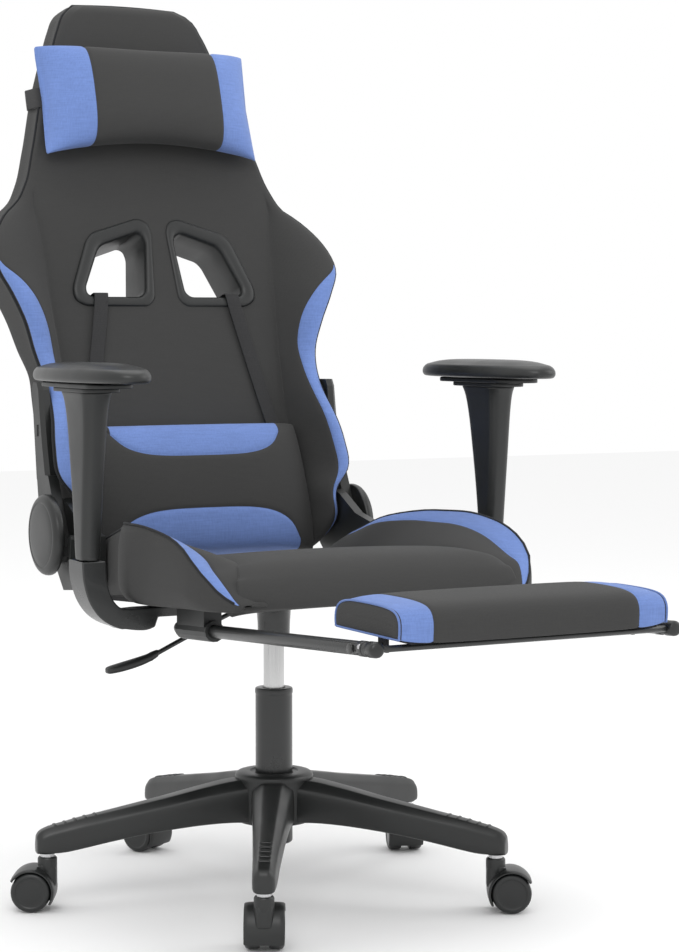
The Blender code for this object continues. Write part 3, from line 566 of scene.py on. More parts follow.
HOLE_OUTER = ((0.0105, 0.905), (0.016, 0.919), (0.031, 0.925), (0.106, 0.902), (0.117, 0.890),
              (0.146, 0.820), (0.144, 0.803), (0.128, 0.794), (0.029, 0.793), (0.0175, 0.804))
HOLE_INNER = ((0.0235, 0.886), (0.027, 0.898), (0.036, 0.902), (0.090, 0.884), (0.098, 0.876),
              (0.123, 0.822), (0.122, 0.813), (0.113, 0.809), (0.041, 0.809), (0.0325, 0.816))


def rounded_outline(corners, radius=0.011, steps=5, straight=3):
    """Cuts the corners of an outline with arcs, for an even row of points round it."""
    corners = [Vector(c) for c in corners]
    count = len(corners)
    line = []
    for i, corner in enumerate(corners):
        before, after = corners[i - 1], corners[(i + 1) % count]
        back, on = before - corner, after - corner
        reach = min(radius, 0.45 * back.length, 0.45 * on.length)
        start, end = corner + back.normalized() * reach, corner + on.normalized() * reach
        for k in range(steps + 1):
            t = k / steps
            line.append(start * (1 - t) ** 2 + corner * 2 * t * (1 - t) + end * t * t)
        stop = after - on.normalized() * min(radius, 0.45 * on.length)
        for k in range(1, straight):
            line.append(end.lerp(stop, k / straight))
    return line


def hole_cutter(side, grow):
    """A bar through the backrest, to cut one pass-through hole a little smaller than its frame."""
    outline = rounded_outline(HOLE_OUTER)
    centre = sum(outline, Vector((0, 0))) / len(outline)
    outline = [p + (p - centre).normalized() * grow for p in outline]
    grid = [[back_point(side * p.x, p.y, proud) for p in outline] for proud in (0.06, -0.13)]
    return skin("hole_cutter", grid, [LINING])


def backrest_cushion():
    half_count = len(back_half(0.7))
    first_stripe = len(CENTRE_STEPS) + len(PANEL_STEPS) - 1
    last_stripe = first_stripe + len(STRIPE_STEPS)
    rows = back_rows()

    def paint(i, j):
        if not 0 <= i < len(rows) - 1:
            return 0
        face = j if j < half_count - 1 else 2 * half_count - 3 - j
        inside = STRIPE_ENDS[0] < 0.5 * (rows[i] + rows[i + 1]) < STRIPE_ENDS[1]
        return 1 if inside and first_stripe <= face < last_stripe else 0

    grid = []
    for z in rows:
        half = back_half(z)
        shape = [(x, y, z) for x, y in half]
        grid.append(shape + [(-x, y, z) for x, y, z in reversed(shape[1:-1])])
    piece = smooth(skin("backrest_upholstery", grid, [DARK_CLOTH, BLUE_CLOTH], paint))
    bake(piece)
    cut(piece, [hole_cutter(side, -0.004) for side, _ in SIDES])
    piece.data.set_sharp_from_angle(angle=math.radians(50))
    settle(piece, "backrest", "dark_fabric", "backrest_cushion", fill=0.9)


def backrest_piping():
    """A welt cord that follows the lip up one side, over the top and down the other."""
    line = []
    for z in np.linspace(0.470, 1.2445, 90):
        x, y = lip_point(0.9995, z)
        line.append((x + 0.0006, y + 0.0015, z))
    top = line[-1]
    over = [(x, top[1] + 0.001, top[2] + 0.0025 * (1 - (x / top[0]) ** 2))
            for x in np.linspace(0.06, -0.06, 9)]
    line += over + [(-x, y, z) for x, y, z in reversed(line)]
    settle(tube("backrest_piping", line, 0.0020, PIPING, 8), "backrest", "dark_fabric")


def rear_cover():
    """The flat cloth panel that closes the back, domed a little and edged with a cord."""
    heights = list(np.linspace(0.470, 1.226, 64))
    read_edge = reading([(row[0], row[3] - 0.024) for row in BACKREST])

    def edge_at(z):
        rounding = 0.018 * (max(0.0, z - 1.19) / 0.036) ** 2
        return float(read_edge(z)[0]) - rounding

    layers = ((0.0000, 0.0012), (-0.0030, 0.0030), (-0.0090, 0.0046))
    grid = []
    for z in heights:
        edge = edge_at(z)
        rear = back_plane(z) + BACK_THICK
        ends = min(1.0, (z - heights[0]) / 0.012, (heights[-1] - z) / 0.012)
        half = [(edge + move, rear + 0.0004 + (lift - 0.0004) * ends) for move, lift in layers]
        half += [(share * (edge - 0.009), rear + 0.0004 + 0.0052 * ends) for share in (0.85, 0.6, 0.3, 0.0)]
        back = [(x, y, z) for x, y in half] + [(-x, y, z) for x, y in reversed(half[:-1])]
        flat = [(edge * share, rear + 0.0003, z) for share in (-0.95, -0.5, 0.0, 0.5, 0.95)]
        grid.append(back + flat)
    piece = smooth(skin("backrest_rear_cover", grid, [DARK_CLOTH]))
    bake(piece)
    cut(piece, [hole_cutter(side, -0.001) for side, _ in SIDES])
    piece.data.set_sharp_from_angle(angle=math.radians(50))
    settle(piece, "backrest", "dark_fabric", "backrest_rear_panel")
    half = [(edge_at(z), back_plane(z) + BACK_THICK + 0.0012, z) for z in heights[::2]]
    line = half + [(-x, y, z) for x, y, z in reversed(half)]
    settle(tube("rear_cover_piping", line, 0.0019, PIPING, 8, closed=True), "backrest", "dark_fabric")


def hole_trim(side, name):
    """The moulded frame of a pass-through hole: a rounded rim on the front and a sleeve behind."""
    outer, inner = rounded_outline(HOLE_OUTER), rounded_outline(HOLE_INNER)
    layers = (
        # share of the way from the outer outline to the inner, height out of the front plane
        (0.00, 0.0004), (0.03, 0.0030), (0.10, 0.0052), (0.22, 0.0062), (0.45, 0.0064), (0.70, 0.0060),
        (0.86, 0.0046), (0.95, 0.0020), (1.00, -0.0020), (1.00, -0.0340), (1.00, -0.0735), (0.60, -0.0756),
        (0.15, -0.0756), (0.04, -0.0740), (0.04, -0.0340), (0.04, -0.0010),
    )
    grid = [[back_point(side * a.lerp(b, share).x, a.lerp(b, share).y, proud) for a, b in zip(outer, inner)]
            for share, proud in layers]
    piece = skin("hole_frame_" + name, grid, [DEEP_PLASTIC], ring=True)
    piece.data.set_sharp_from_angle(angle=math.radians(45))
    settle(piece, "backrest", "plastic", "hole_trim_" + name)


def ribbon(name, path, across, half_width, thick, material, steps=8):
    """A flat strap with rounded edges along (point, outward) pairs."""
    points = spline([p for p, _ in path], steps)
    outs = spline([n for _, n in path], steps)
    section = ((-1, 0.15), (-0.94, 0.0), (0.94, 0.0), (1, 0.15), (1, 0.85), (0.94, 1.0), (0, 1.06),
               (-0.94, 1.0), (-1, 0.85))
    grid = []
    for point, out in zip(points, outs):
        out = Vector(out).normalized()
        grid.append([Vector(point) + Vector(across) * side * half_width + out * lift * thick
                     for side, lift in section])
    return skin(name, grid, [material])


def straps():
    rear = -(BACK_THICK + 0.005) * math.cos(math.atan(BACK_LEAN))
    up = Vector((0, BACK_LEAN, 1)).normalized()
    for side, name in SIDES:
        path = (
            (back_point(side * 0.147, 0.600, 0.0120), LEAN),
            (back_point(side * 0.1405, 0.632, 0.0060), LEAN),
            (back_point(side * 0.122, 0.720, 0.0055), LEAN),
            (back_point(side * 0.108, 0.786, 0.0072), LEAN),
            (back_point(side * 0.1045, 0.8060, 0.0076), LEAN + 0.4 * up),
            (back_point(side * 0.104, 0.8120, 0.0040), LEAN + up),
            (back_point(side * 0.104, 0.8122, -0.0200), up),
            (back_point(side * 0.104, 0.8122, -0.0600), up),
            (back_point(side * 0.104, 0.8100, rear - 0.0040), up - LEAN),
            (back_point(side * 0.106, 0.770, rear - 0.0048), -LEAN),
            (back_point(side * 0.109, 0.640, rear - 0.0050), -LEAN),
            (back_point(side * 0.112, 0.500, rear - 0.0046), -LEAN),
        )
        piece = ribbon("lumbar_strap_web_" + name, path, (1, 0, 0), 0.0105, 0.0016, WEBBING)
        settle(piece, "backrest", "strap", "lumbar_strap_" + name)
    level = 1.100
    half = 0.1605
    front = back_plane(level)
    back = front + BACK_THICK + 0.0065
    left = Vector((-1, 0, 0))
    path = [
        (Vector((-half + 0.006, front - 0.004, level)), left),
        (Vector((-half, front + 0.006, level)), left),
        (Vector((-half, front + 0.040, level)), left),
        (Vector((-half + 0.001, back - 0.024, level)), left),
        (Vector((-half + 0.008, back - 0.008, level)), left - 0.6 * LEAN),
        (Vector((-half + 0.024, back, level)), -LEAN),
        (Vector((-0.060, back + 0.0005, level)), -LEAN),
    ]
    path += [(Vector((-p.x, p.y, p.z)), Vector((-n.x, n.y, n.z))) for p, n in reversed(path)]
    piece = ribbon("head_strap_web", path, up, 0.0150, 0.0016, WEBBING)
    settle(piece, "backrest", "strap", "head_strap")


def pillow_thickness(s, t, end, edge):
    """Share of the full thickness of a stuffed pillow at (s, t), each from -1 to 1."""
    return (max(0.0, 1 - abs(s) ** 3.2) ** 0.55 * (1 - end) + end) * max(0.0, 1 - abs(t) ** 2.6) ** edge


def head_pillow():
    """A bolster pillow with eared corners, a dark middle and a blue band at each end."""
    half_width, half_height, centre = 0.1685, 0.0795, 1.0875
    seam = 0.600
    ends = [0.0, 0.03, 0.10, 0.28, 0.5, 0.72, 0.88, 0.96, 1.0]
    blue = [1 - (1 - seam) * e for e in ends]
    dark = [seam * f for f in (0.975, 0.93, 0.8, 0.6, 0.4, 0.2)]
    positive = blue + dark
    stations = [-s for s in positive] + [0.0] + positive[::-1]
    around = 40
    grid = []
    for s in stations:
        ring = []
        for k in range(around):
            angle = 2 * math.pi * k / around
            t = curl(math.sin(angle), 0.75)
            face = curl(math.cos(angle), 0.75)
            pull = 1 - 0.055 * (1 - t * t) * abs(s) ** 4
            x = half_width * s * pull
            fullness = pillow_thickness(s, 0.0, 0.04, 0.5)
            arch = 0.013 * (1 - abs(s) ** 1.6) if t < 0 else -0.004 * (1 - s * s)
            height = centre + half_height * t * (1 - 0.05 * (1 - s * s)) + arch * abs(t)
            depth = 0.0355 * fullness * face
            groove = 0.0022 * (abs(abs(s) - seam) < 0.004 and face > -0.4)
            middle_line = 0.0055 + 0.0355 * (0.45 + 0.55 * fullness)
            wrap = 0.004 * abs(s) ** 3
            proud = middle_line + depth - wrap - groove * (face > 0)
            ring.append(back_point(x, height - groove * t, max(proud, 0.004)))
        grid.append(ring)

    def paint(i, j):
        inside = 0 <= i < len(stations) - 1
        return 0 if inside and 0.5 * abs(stations[i] + stations[i + 1]) < seam else 1

    piece = smooth(skin("head_pillow_cover", grid, [DARK_CLOTH, BLUE_CLOTH], paint))
    bake(piece)
    settle(piece, "backrest", "dark_fabric", "head_pillow", fill=0.75)


def lumbar_pillow():
    """A foam block: blue band along the top, dark middle and a blue half-moon at the bottom."""
    bottom, top, half_width = 0.4345, 0.6165, 0.1790
    band_half, moon_half = 0.1415, 0.1500
    columns = [math.sin(math.pi / 2 * k / 16) for k in range(-16, 17)]

    def band(x):
        share = min(abs(x) / band_half, 1.0)
        return top - 0.051 * math.sqrt(max(1 - share**4, 0.0))

    def moon(x):
        share = min(abs(x) / moon_half, 1.0)
        return bottom + 0.0575 * math.sqrt(max(1 - share**4, 0.0))

    def outline(z):
        share = (top - z) / (top - bottom)
        return half_width * (0.950 + 0.075 * share - 0.045 * share**4)

    def proud_at(s, z):
        share = 2 * (z - bottom) / (top - bottom) - 1
        return 0.006 + 0.057 * pillow_thickness(s, share, 0.30, 0.16)

    grid = []
    zones = [1] * 9 + [0] * 9 + [1] * 9
    for s in columns:
        x0 = half_width * s
        low, high = moon(x0), band(x0)
        low, high = max(low, bottom + 0.003), min(high, top - 0.003)
        heights = []
        for start, end in ((bottom, low), (low, high), (high, top)):
            heights += [start + share * (end - start) for share in eased(9)[:-1]]
        heights.append(top)
        ring = []
        for z in heights:
            seam = min(abs(z - low), abs(z - high))
            dip = 0.0022 * max(0.0, 1 - seam / 0.0022) if abs(s) < 0.86 else 0.0
            ring.append(back_point(outline(z) * s, z, proud_at(s, z) - dip))
        for z in np.linspace(top, bottom, 8):
            ring.append(back_point(min(outline(z), 0.164) * s, z, 0.0045))
        grid.append(ring)

    def paint(i, j):
        if not 0 <= i < len(columns) - 1 or j >= len(zones):
            return 0
        x = half_width * 0.5 * (columns[i] + columns[i + 1])
        return zones[j] if abs(x) < (band_half if j >= 18 else moon_half) else 0

    piece = smooth(skin("lumbar_pillow_cover", grid, [DARK_CLOTH, BLUE_CLOTH], paint))
    bake(piece)
    settle(piece, "backrest", "dark_fabric", "lumbar_pillow", fill=0.8)


# --- Seat -----------------------------------------------------------------------------------
SEAT_PROFILE = (
    # y, z, half-width: over the top from the rear, down the front and back under
    (0.1885, 0.4290, 0.166), (0.185, 0.4365, 0.168), (0.168, 0.4420, 0.168), (0.130, 0.4480, 0.168),
    (0.080, 0.4550, 0.168), (0.020, 0.4620, 0.168), (-0.040, 0.4695, 0.168), (-0.100, 0.4765, 0.168),
    (-0.160, 0.4825, 0.169), (-0.205, 0.4855, 0.171), (-0.240, 0.4860, 0.175), (-0.268, 0.4825, 0.180),
    (-0.288, 0.4745, 0.187), (-0.301, 0.4630, 0.193), (-0.3085, 0.4500, 0.197), (-0.3115, 0.4380, 0.199),
    (-0.3095, 0.4285, 0.200), (-0.3020, 0.4250, 0.199), (-0.2880, 0.4240, 0.198),
)
SEAT_BELOW = ((-0.2868, 0.4250, 0.196), (-0.2866, 0.4362, 0.186), (-0.20, 0.4303, 0.166),
              (0.0, 0.4170, 0.166), (0.186, 0.4046, 0.166))


def seat_cushion():
    """The cushion between the bolsters, whose edges pull in: down on top, back on its front face."""
    fine = [tuple(p) for p in spline(SEAT_PROFILE, 2)] + list(SEAT_BELOW)
    columns = [math.sin(math.pi / 2 * k / 13) for k in range(-13, 14)]
    upper = 2 * len(SEAT_PROFILE) - 1
    grid = []
    for s in columns:
        ring = []
        for index, (y, z, wide) in enumerate(fine):
            droop = 0.0045 * s * s + 0.006 * abs(s) ** 14 if index < upper else 0.0
            if -0.301 < y < -0.262:
                back, down = 0.7, 0.7
            else:
                back, down = (1.0, 0.0) if y < -0.30 else (0.0, 1.0)
            ring.append((s * wide, y + back * droop, z - down * droop))
        grid.append(ring)
    piece = smooth(skin("seat_upholstery", grid, [DARK_CLOTH]))
    bake(piece)
    settle(piece, "seat", "dark_fabric", "seat_cushion", fill=0.85)


BOLSTER = (
    # y, widest, ridge x, ridge z, stripe width, fall across the stripe, top of the seat beside it
    (-0.3120, 0.2030, 0.1990, 0.4330, 0.001, 0.000, 0.4300),
    (-0.3060, 0.2095, 0.2065, 0.4380, 0.005, -0.001, 0.4360),
    (-0.2960, 0.2200, 0.2165, 0.4465, 0.010, -0.004, 0.4460),
    (-0.2820, 0.2310, 0.2275, 0.4620, 0.016, -0.002, 0.4620),
    (-0.2600, 0.2400, 0.2350, 0.4800, 0.025, 0.008, 0.4750),
    (-0.2340, 0.2440, 0.2365, 0.4955, 0.029, 0.012, 0.4790),
    (-0.2100, 0.2460, 0.2370, 0.5040, 0.028, 0.0135, 0.4800),
    (-0.1600, 0.2480, 0.2385, 0.5125, 0.026, 0.0135, 0.4775),
    (-0.1100, 0.2485, 0.2385, 0.5158, 0.025, 0.0135, 0.4720),
    (-0.0600, 0.2430, 0.2330, 0.5145, 0.022, 0.0130, 0.4670),
    (-0.0200, 0.2340, 0.2240, 0.5125, 0.019, 0.0115, 0.4620),
    (0.0450, 0.2045, 0.1980, 0.5010, 0.012, 0.0070, 0.4580),
    (0.1100, 0.2035, 0.1960, 0.4810, 0.008, 0.0040, 0.4510),
    (0.1600, 0.2030, 0.1955, 0.4630, 0.005, 0.0020, 0.4430),
    (0.1890, 0.2010, 0.1940, 0.4440, 0.003, 0.0010, 0.4290),
)
read_bolster = reading(BOLSTER)


def bolster_section(y):
    """The bolster's slice at y: inner face, stripe, ridge, outer face and underside."""
    wide, ridge_x, ridge_z, stripe, fall, top = (float(v) for v in read_bolster(y))
    inner_x = 0.160
    under = seat_under(y) + 0.0006
    stripe_x, stripe_z = ridge_x - stripe, ridge_z - fall
    section = []
    for share in (0.0, 0.15, 0.4, 0.65, 0.88, 0.97):
        bulge = 0.004 * math.sin(math.pi * share)
        level = top - 0.004 + share * (stripe_z - top + 0.004)
        section.append((inner_x + share * (stripe_x - inner_x), level + bulge))
    section.append((stripe_x, stripe_z - 0.0016))
    for share in (0.06, 0.25, 0.5, 0.75, 0.92):
        dome = 0.16 * stripe * math.sin(math.pi * share) ** 0.8
        section.append((stripe_x + share * stripe, stripe_z + share * fall + dome * 0.5))
    section.append((ridge_x, ridge_z))
    deep = ridge_z - under
    bow = wide - ridge_x
    for share, out in ((0.03, 0.35), (0.10, 0.62), (0.25, 0.90), (0.45, 1.0), (0.65, 0.97)):
        section.append((ridge_x + bow * out, ridge_z - share * deep))
    tuck = min(0.030, 0.35 * deep)
    for degrees in (10, 35, 60, 90):
        angle = math.radians(degrees)
        section.append((wide - tuck + tuck * math.cos(angle), under + tuck - tuck * math.sin(angle)))
    section += [(0.1915, under), (0.1910, under + 0.0118), (inner_x, under + 0.0122)]
    return section


def bolster(side, name):
    rows = list(-0.3102 + 0.018 * np.array([0.0, 0.12, 0.3, 0.55, 0.8]))
    rows += list(np.linspace(-0.292, 0.1885, 50))
    first, last = 6, 12
    grid = [[(side * x, y, z) for x, z in bolster_section(y)] for y in rows]

    def paint(i, j):
        return 1 if 0 <= i < len(rows) and first <= j < last else 0

    piece = smooth(skin("seat_bolster_cover_" + name, grid, [DARK_CLOTH, BLUE_CLOTH], paint))
    bake(piece)
    settle(piece, "seat", "dark_fabric", "seat_bolster_" + name, fill=0.85)
    line = []
    for y in rows[1::2]:
        _, x, z = read_bolster(y)[:3]
        line.append((side * (float(x) + 0.0006), y, float(z) + 0.0002))
    settle(tube("seat_piping_" + name, line, 0.0017, PIPING, 8), "seat", "dark_fabric")


# --- Footrest -------------------------------------------------------------------------------
PAD_SECTION = (
    (-0.6565, 0.4262), (-0.6598, 0.4290), (-0.6608, 0.4420), (-0.6600, 0.4520), (-0.6555, 0.4610),
    (-0.6460, 0.4670), (-0.6300, 0.4700), (-0.6050, 0.4712), (-0.5650, 0.4710), (-0.5400, 0.4696),
    (-0.5210, 0.4655), (-0.5095, 0.4580), (-0.5045, 0.4480), (-0.5033, 0.4370), (-0.5042, 0.4290),
    (-0.5070, 0.4262), (-0.5400, 0.4260), (-0.5800, 0.4260), (-0.6200, 0.4260),
)
PAD_SEAM = 0.134
PAD_HALF = 0.175


def footrest_pad():
    centre = Vector((-0.5820, 0.4480))

    def shrunk(point, inset):
        offset = point - centre
        return centre + Vector((offset.x * (1 - inset / 0.079), offset.y * (1 - inset / 0.022)))

    outline = [Vector(p) for p in spline(PAD_SECTION, 2, closed=True)]
    stations = [(PAD_HALF + x, inset) for x, inset in (
        (0.0, 0.024), (0.0004, 0.015), (0.0, 0.0095), (-0.0006, 0.0068), (-0.0026, 0.0054), (-0.010, 0.0036),
        (-0.022, 0.0018))]
    stations += [(PAD_SEAM + x, inset) for x, inset in (
        (0.005, 0.0010), (0.0018, 0.0012), (0.0, 0.0026), (-0.0018, 0.0010), (-0.006, 0.0004))]
    stations += [(0.10, 0.0), (0.05, -0.0002)]
    row = stations + [(0.0, -0.0003)] + [(-x, inset) for x, inset in reversed(stations)]
    grid = []
    for x, inset in row:
        ring = []
        for point in outline:
            moved = shrunk(point, inset)
            ring.append((x, moved.x, moved.y))
        grid.append(ring)

    def paint(i, j):
        if not 0 <= i < len(row) - 1:
            return 0
        x = abs(0.5 * (row[i][0] + row[i + 1][0]))
        return 1 if PAD_SEAM < x < PAD_HALF - 0.002 else 0

    piece = smooth(skin("footrest_upholstery", grid, [DARK_CLOTH, BLUE_CLOTH], paint))
    bake(piece)
    settle(piece, "footrest_panel", "dark_fabric", "footrest_pad", fill=0.85)
    for side, name in SIDES:
        line = []
        for point in outline:
            moved = shrunk(point, 0.0056)
            line.append((side * (PAD_HALF - 0.0008), moved.x, moved.y))
        cord = tube("footrest_piping_" + name, line, 0.0013, BLUE_PIPING, 8, closed=True)
        settle(cord, "footrest_panel", "dark_fabric")


def footrest_metal():
    """The two sliding tubes with their end knobs and the pad's pins, and the bar between them."""
    for side, name in SIDES:
        cap = Vector((side * RAIL_X, -0.636, 0.421))
        end = Vector((side * RAIL_X, -0.125, rail_height(-0.125)))
        run = end - cap
        bar = lathe("bar", rounded(0.0080, -0.004, run.length, 0.0008, 3), cap, run, PAINT, 32)
        knob = [(1e-5, -0.0098), (0.0050, -0.0096), (0.0072, -0.0088), (0.0086, -0.0070), (0.0090, -0.0045),
                (0.0090, 0.0070), (0.0084, 0.0080), (1e-5, 0.0082)]
        parts = [bar, lathe("knob", knob, cap, run, PLASTIC, 32)]
        at = cap + run.normalized() * 0.022
        parts.append(lathe("collar", rounded(0.0088, -0.006, 0.006, 0.0008, 2), at, run, PAINT, 32))
        screw = [(1e-5, 0.0096), (0.0022, 0.0094), (0.0030, 0.0086), (0.0032, 0.0060), (1e-5, 0.0058)]
        parts.append(lathe("screw", screw, at, (side * 1.0, -0.3, 0.4), STEEL, 16))
        pivot = Vector((0, -0.598, rail_height(-0.598)))
        pin = rounded(0.0030, 0.156, 0.2045, 0.0005, 2)
        parts.append(lathe("pin", pin, pivot, (side, 0, 0), STEEL, 20))
        head = rounded(0.0062, 0.2020, 0.2052, 0.0010, 3)
        parts.append(lathe("head", head, pivot, (side, 0, 0), PAINT, 20))
        piece = merged("footrest_tube_" + name, parts)
        settle(piece, "footrest_frame", "painted_metal", "footrest_rail_" + name)
    reach = RAIL_X - 0.0092
    bar = rounded(0.0038, -reach, reach, 0.0004, 2)
    cross = lathe("footrest_cross_tube", bar, (0, -0.636, 0.421), (1, 0, 0), PAINT, 24)
    settle(cross, "footrest_frame", "painted_metal", "footrest_crossbar")


# --- Armrests -------------------------------------------------------------------------------
ARM_PAD = (0.291, -0.071)
ARM_PAD_HALF = (0.0465, 0.1500)


def slab(name, centre, layers, material, corner_share):
    """A block with rounded plan: (z, half-width, half-length) layers."""
    grid = []
    for z, half_width, half_length in layers:
        ring = capsule_ring(half_width, half_length, corner_share * half_width)
        grid.append([(centre[0] + x, centre[1] + y, z) for x, y in ring])
    return smooth(skin(name, grid, [material]))


def bracket(side):
    """A bent bar that carries the post from a foot under the seat."""
    outer = spline([(0.3115, 0.472), (0.3092, 0.445), (0.3003, 0.418), (0.2835, 0.3972), (0.258, 0.3845),
                    (0.228, 0.380), (0.2125, 0.3835)], 5)
    inner = spline([(0.2795, 0.472), (0.2770, 0.442), (0.2680, 0.420), (0.252, 0.4087), (0.225, 0.4085)], 5)
    outline = [tuple(p) for p in outer] + [(0.2080, 0.3960), (0.150, 0.3960), (0.150, 0.4085)]
    outline += [tuple(p) for p in reversed(inner)]
    grid = []
    for move in (-0.024, 0.024):
        row = []
        for x, z in outline:
            sunk = SEAT_SLOPE * move if x < 0.2535 and z < 0.42 else 0.0
            row.append((side * x, ARM[1] + move, z - sunk))
        grid.append(row)
    piece = skin("armrest_bracket_" + ("left" if side > 0 else "right"), grid, [PAINT])
    piece.data.set_sharp_from_angle(angle=math.radians(35))
    return bevel(piece, 0.0032, 4, 40)


def armrest(side, name):
    """A flared post under two plates, a rounded pad and the bracket that carries them."""
    x, y = side * ARM[0], ARM[1]
    post = []
    for z, half_width, half_depth, forward, outward in (
        (0.4726, 0.0112, 0.0158, 0.0060, 0.0020), (0.4729, 0.0124, 0.0172, 0.0060, 0.0020),
        (0.4750, 0.0130, 0.0180, 0.0060, 0.0020), (0.500, 0.0133, 0.0196, 0.0060, 0.0020),
        (0.530, 0.0138, 0.0225, 0.0060, 0.0018), (0.569, 0.0145, 0.0270, 0.0055, 0.0015),
        (0.610, 0.0152, 0.0325, 0.0045, 0.0010), (0.640, 0.0160, 0.0360, 0.0035, 0.0006),
        (0.665, 0.0174, 0.0400, 0.0022, 0.0003), (0.678, 0.0190, 0.0435, 0.0014, 0.0),
        (0.6845, 0.0215, 0.0470, 0.0008, 0.0), (0.6850, 0.0205, 0.0460, 0.0008, 0.0),
    ):
        ring = capsule_ring(half_width, half_depth, 0.8 * half_width)
        post.append([(x + side * outward + a, y - forward + b, z) for a, b in ring])
    post = smooth(skin("post", post, [PLASTIC]))
    lower = slab("lower", (x, y), ((0.6842, 0.0240, 0.0620), (0.6846, 0.0250, 0.0632), (0.6852, 0.0254, 0.0636),
                                   (0.6900, 0.0254, 0.0636), (0.6905, 0.0250, 0.0632)), DEEP_PLASTIC, 0.7)
    upper = slab("upper", (x, y), ((0.6898, 0.0300, 0.0915), (0.6902, 0.0310, 0.0926), (0.6908, 0.0314, 0.0930),
                                   (0.6958, 0.0314, 0.0930), (0.6964, 0.0310, 0.0926)), DEEP_PLASTIC, 0.7)
    settle(merged("armrest_post_" + name, [post, lower, upper]), "seat", "plastic", "arm_post_" + name)
    base, top = 0.6968, 0.7215
    grid = []
    for z, in_x, in_y in (
        (base, 0.016, 0.026), (base, 0.0050, 0.0080), (base + 0.0010, 0.0022, 0.0040),
        (base + 0.0030, 0.0008, 0.0015), (base + 0.0060, 0.0, 0.0), (base + 0.0100, 0.0002, 0.0006),
        (base + 0.0140, 0.0014, 0.0040),
        (base + 0.0168, 0.0034, 0.0100), (base + 0.0176, 0.0044, 0.0130), (base + 0.0182, 0.0062, 0.0180),
        (base + 0.0214, 0.0120, 0.0340), (base + 0.0236, 0.0200, 0.0600), (top - 0.0002, 0.0300, 0.0950),
    ):
        ring = []
        for k in range(48):
            angle = 2 * math.pi * k / 48
            ring.append((side * ARM_PAD[0] + (ARM_PAD_HALF[0] - in_x) * curl(math.cos(angle), 0.85),
                         ARM_PAD[1] + (ARM_PAD_HALF[1] - in_y) * curl(math.sin(angle), 0.85), z))
        grid.append(ring)
    settle(smooth(skin("armrest_top_" + name, grid, [PLASTIC])), "seat", "plastic", "arm_pad_" + name)
    settle(bracket(side), "seat", "painted_metal", "arm_bracket_" + name)


# --- Recliner -------------------------------------------------------------------------------
def slot_shade_plate(name, side, across, along, up):
    """A thin near-black plate of painted shade that stands for the shaded inside of a slot, between pairs of x,
    y and z.
    """
    outline = [(along[0], up[0]), (along[1], up[0]), (along[1], up[1]), (along[0], up[1])]
    return skin(name, [[(side * x, y, z) for y, z in outline] for x in across], [SHADOW])


def recliner(side, name):
    start = (0, HINGE[0], HINGE[1])
    disc = [
        (1e-5, 0.2060), (0.0078, 0.2060), (0.0078, 0.2336), (0.0535, 0.2336), (0.0550, 0.2344),
        (0.0558, 0.2360), (0.0560, 0.2385), (0.0557, 0.2412), (0.0546, 0.2440), (0.0525, 0.2462),
        (0.0498, 0.2476), (0.0470, 0.2484), (0.0452, 0.2486), (0.0440, 0.2481), (0.0428, 0.2485),
        (0.0330, 0.2494), (0.0180, 0.2500), (1e-5, 0.2502),
    ]
    piece = lathe("recliner_disc_" + name, disc, start, (side, 0, 0), PLASTIC, 64)
    settle(piece, "seat", "plastic", "recliner_hub_" + name)
    bevel(NODES["recliner_lower_cover_" + name], 0.0024, 3, 30)
    bevel(NODES["recliner_upper_cover_" + name], 0.0030, 3, 30)
    # painted shade: near-black plates in the slots of the upper and lower recliner covers
    upper = (0.2325, 0.2337), (0.2690, 0.2735), (0.6130, 0.6290)
    settle(slot_shade_plate("recliner_slot_" + name, side, *upper), "backrest", "plastic")
    lower = (0.2178, 0.2184), (0.1010, 0.1055), (0.4180, 0.4330)
    settle(slot_shade_plate("recliner_lower_slot_" + name, side, *lower), "seat", "plastic")


